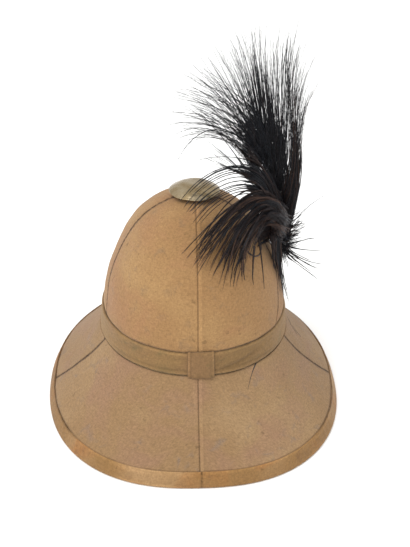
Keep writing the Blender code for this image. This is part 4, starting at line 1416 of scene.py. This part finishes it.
@dataclass
class Studio:
    """Floor, lights and the camera at the photograph's angle."""

    distance: float = 850.0 * MM
    elevation: float = 30.3
    azimuth: float = -3.4
    roll: float = 1.0
    target: tuple[float, float, float] = (10.9 * MM, 0.0, 118.5 * MM)
    focal_px: float = 885.0
    picture_height_px: float = 547.0
    sensor_mm: float = 36.0
    floor_half: float = 6.0
    room_light: float = 0.95
    key: tuple[float, float, float, float] = (212.0, 58.0, 40.0, 1.5)
    fill: tuple[float, float, float, float] = (275.0, 30.0, 60.0, 0.35)

    def camera(self) -> Piece:
        """Place the camera: behind the hat and above it, turned a little about its own axis.

        Returns:
            The camera.
        """
        turn, tilt, roll = (math.radians(a) for a in (self.azimuth, self.elevation, self.roll))
        back = Vector((math.sin(turn) * math.cos(tilt), -math.cos(turn) * math.cos(tilt),
                       math.sin(tilt)))
        right = Vector((math.cos(turn), math.sin(turn), 0.0))
        up = back.cross(right)
        right, up = (right * math.cos(roll) + up * math.sin(roll),
                     up * math.cos(roll) - right * math.sin(roll))
        data = bpy.data.cameras.new("camera")
        data.sensor_width = self.sensor_mm
        data.lens = self.focal_px / self.picture_height_px * self.sensor_mm
        camera = bpy.data.objects.new("camera", data)
        spot = Vector(self.target) + back * self.distance
        turned = Matrix((right, up, back)).transposed().to_4x4()
        camera.matrix_world = Matrix.Translation(spot) @ turned
        bpy.context.scene.collection.objects.link(camera)
        bpy.context.scene.camera = camera
        return camera

    def floor(self) -> Piece:
        """Lay the pale floor."""
        half = self.floor_half
        corners = np.array([[-half, -half, 0], [half, -half, 0], [half, half, 0], [-half, half, 0]])
        floor = new_piece("floor", corners, np.array([[0, 1, 2, 3]]))
        material, _, shader = new_material("matte_white_floor")
        feed(material.node_tree, shader, {"Base Color": linear("#fdfdfc"), "Roughness": 1.0,
                                          "Specular IOR Level": 0.0})
        floor.data.materials.append(material)
        return floor

    def sun(self, name: str, turn: float, height: float, soft: float, power: float) -> None:
        """Hang a far, soft light.

        Args:
            name: name of the light.
            turn: where it stands round the hat, in degrees from +X.
            height: how high it stands, in degrees.
            soft: its width in the sky, in degrees.
            power: its strength.
        """
        data = bpy.data.lights.new(name, "SUN")
        data.energy = power
        data.angle = math.radians(soft)
        lamp = bpy.data.objects.new(name, data)
        round_, up = math.radians(turn), math.radians(height)
        toward = Vector((math.cos(round_) * math.cos(up), math.sin(round_) * math.cos(up),
                         math.sin(up)))
        lamp.rotation_euler = toward.to_track_quat("Z", "Y").to_euler()
        bpy.context.scene.collection.objects.link(lamp)

    def build(self) -> None:
        """Build the studio: a white room, a broad key from the upper left and a low fill."""
        self.camera()
        self.floor()
        self.sun("key", *self.key)
        self.sun("fill", *self.fill)
        world = bpy.data.worlds.new("room")
        world.use_nodes = True
        world.node_tree.nodes["Background"].inputs[0].default_value = linear("#ffffff")
        world.node_tree.nodes["Background"].inputs[1].default_value = self.room_light
        scene = bpy.context.scene
        scene.world = world
        scene.view_settings.view_transform = "Standard"


def main() -> None:
    """Build the studio and dress the hat, piece by piece."""
    logging.basicConfig(level=logging.INFO, format="%(name)s %(message)s")
    form = HatForm()
    Studio().build()
    crown = ClothFinish("cotton_drill", "#96734c", "#a07e54", "#99714f", "#82694e", "#4a3420")
    brim = ClothFinish("cotton_drill_brim", "#8d704f", "#977b59", "#8f6f56", "#7b6a5c", "#463222",
                       seed_shift=0.6)
    band = ClothFinish("folded_cotton", "#7e6340", "#8a6c45", "#7e6042", "#6c5b3b", "#3e2b18",
                       seed_shift=0.4)
    tape = ClothFinish("worn_cotton_tape", "#88673f", "#9c7c57", "#94663a", "#725337", "#45301b",
                       seed_shift=0.8)
    Bodies(form, PithFinish()).build()
    ClothCover(form, crown, brim).build()
    Band(form, band).build()
    Binding(form, tape).build()
    Ventilator(MetalFinish()).build()
    Plume(FeatherFinish(), TUFTS).build(form)


if __name__ == "__main__":
    main()
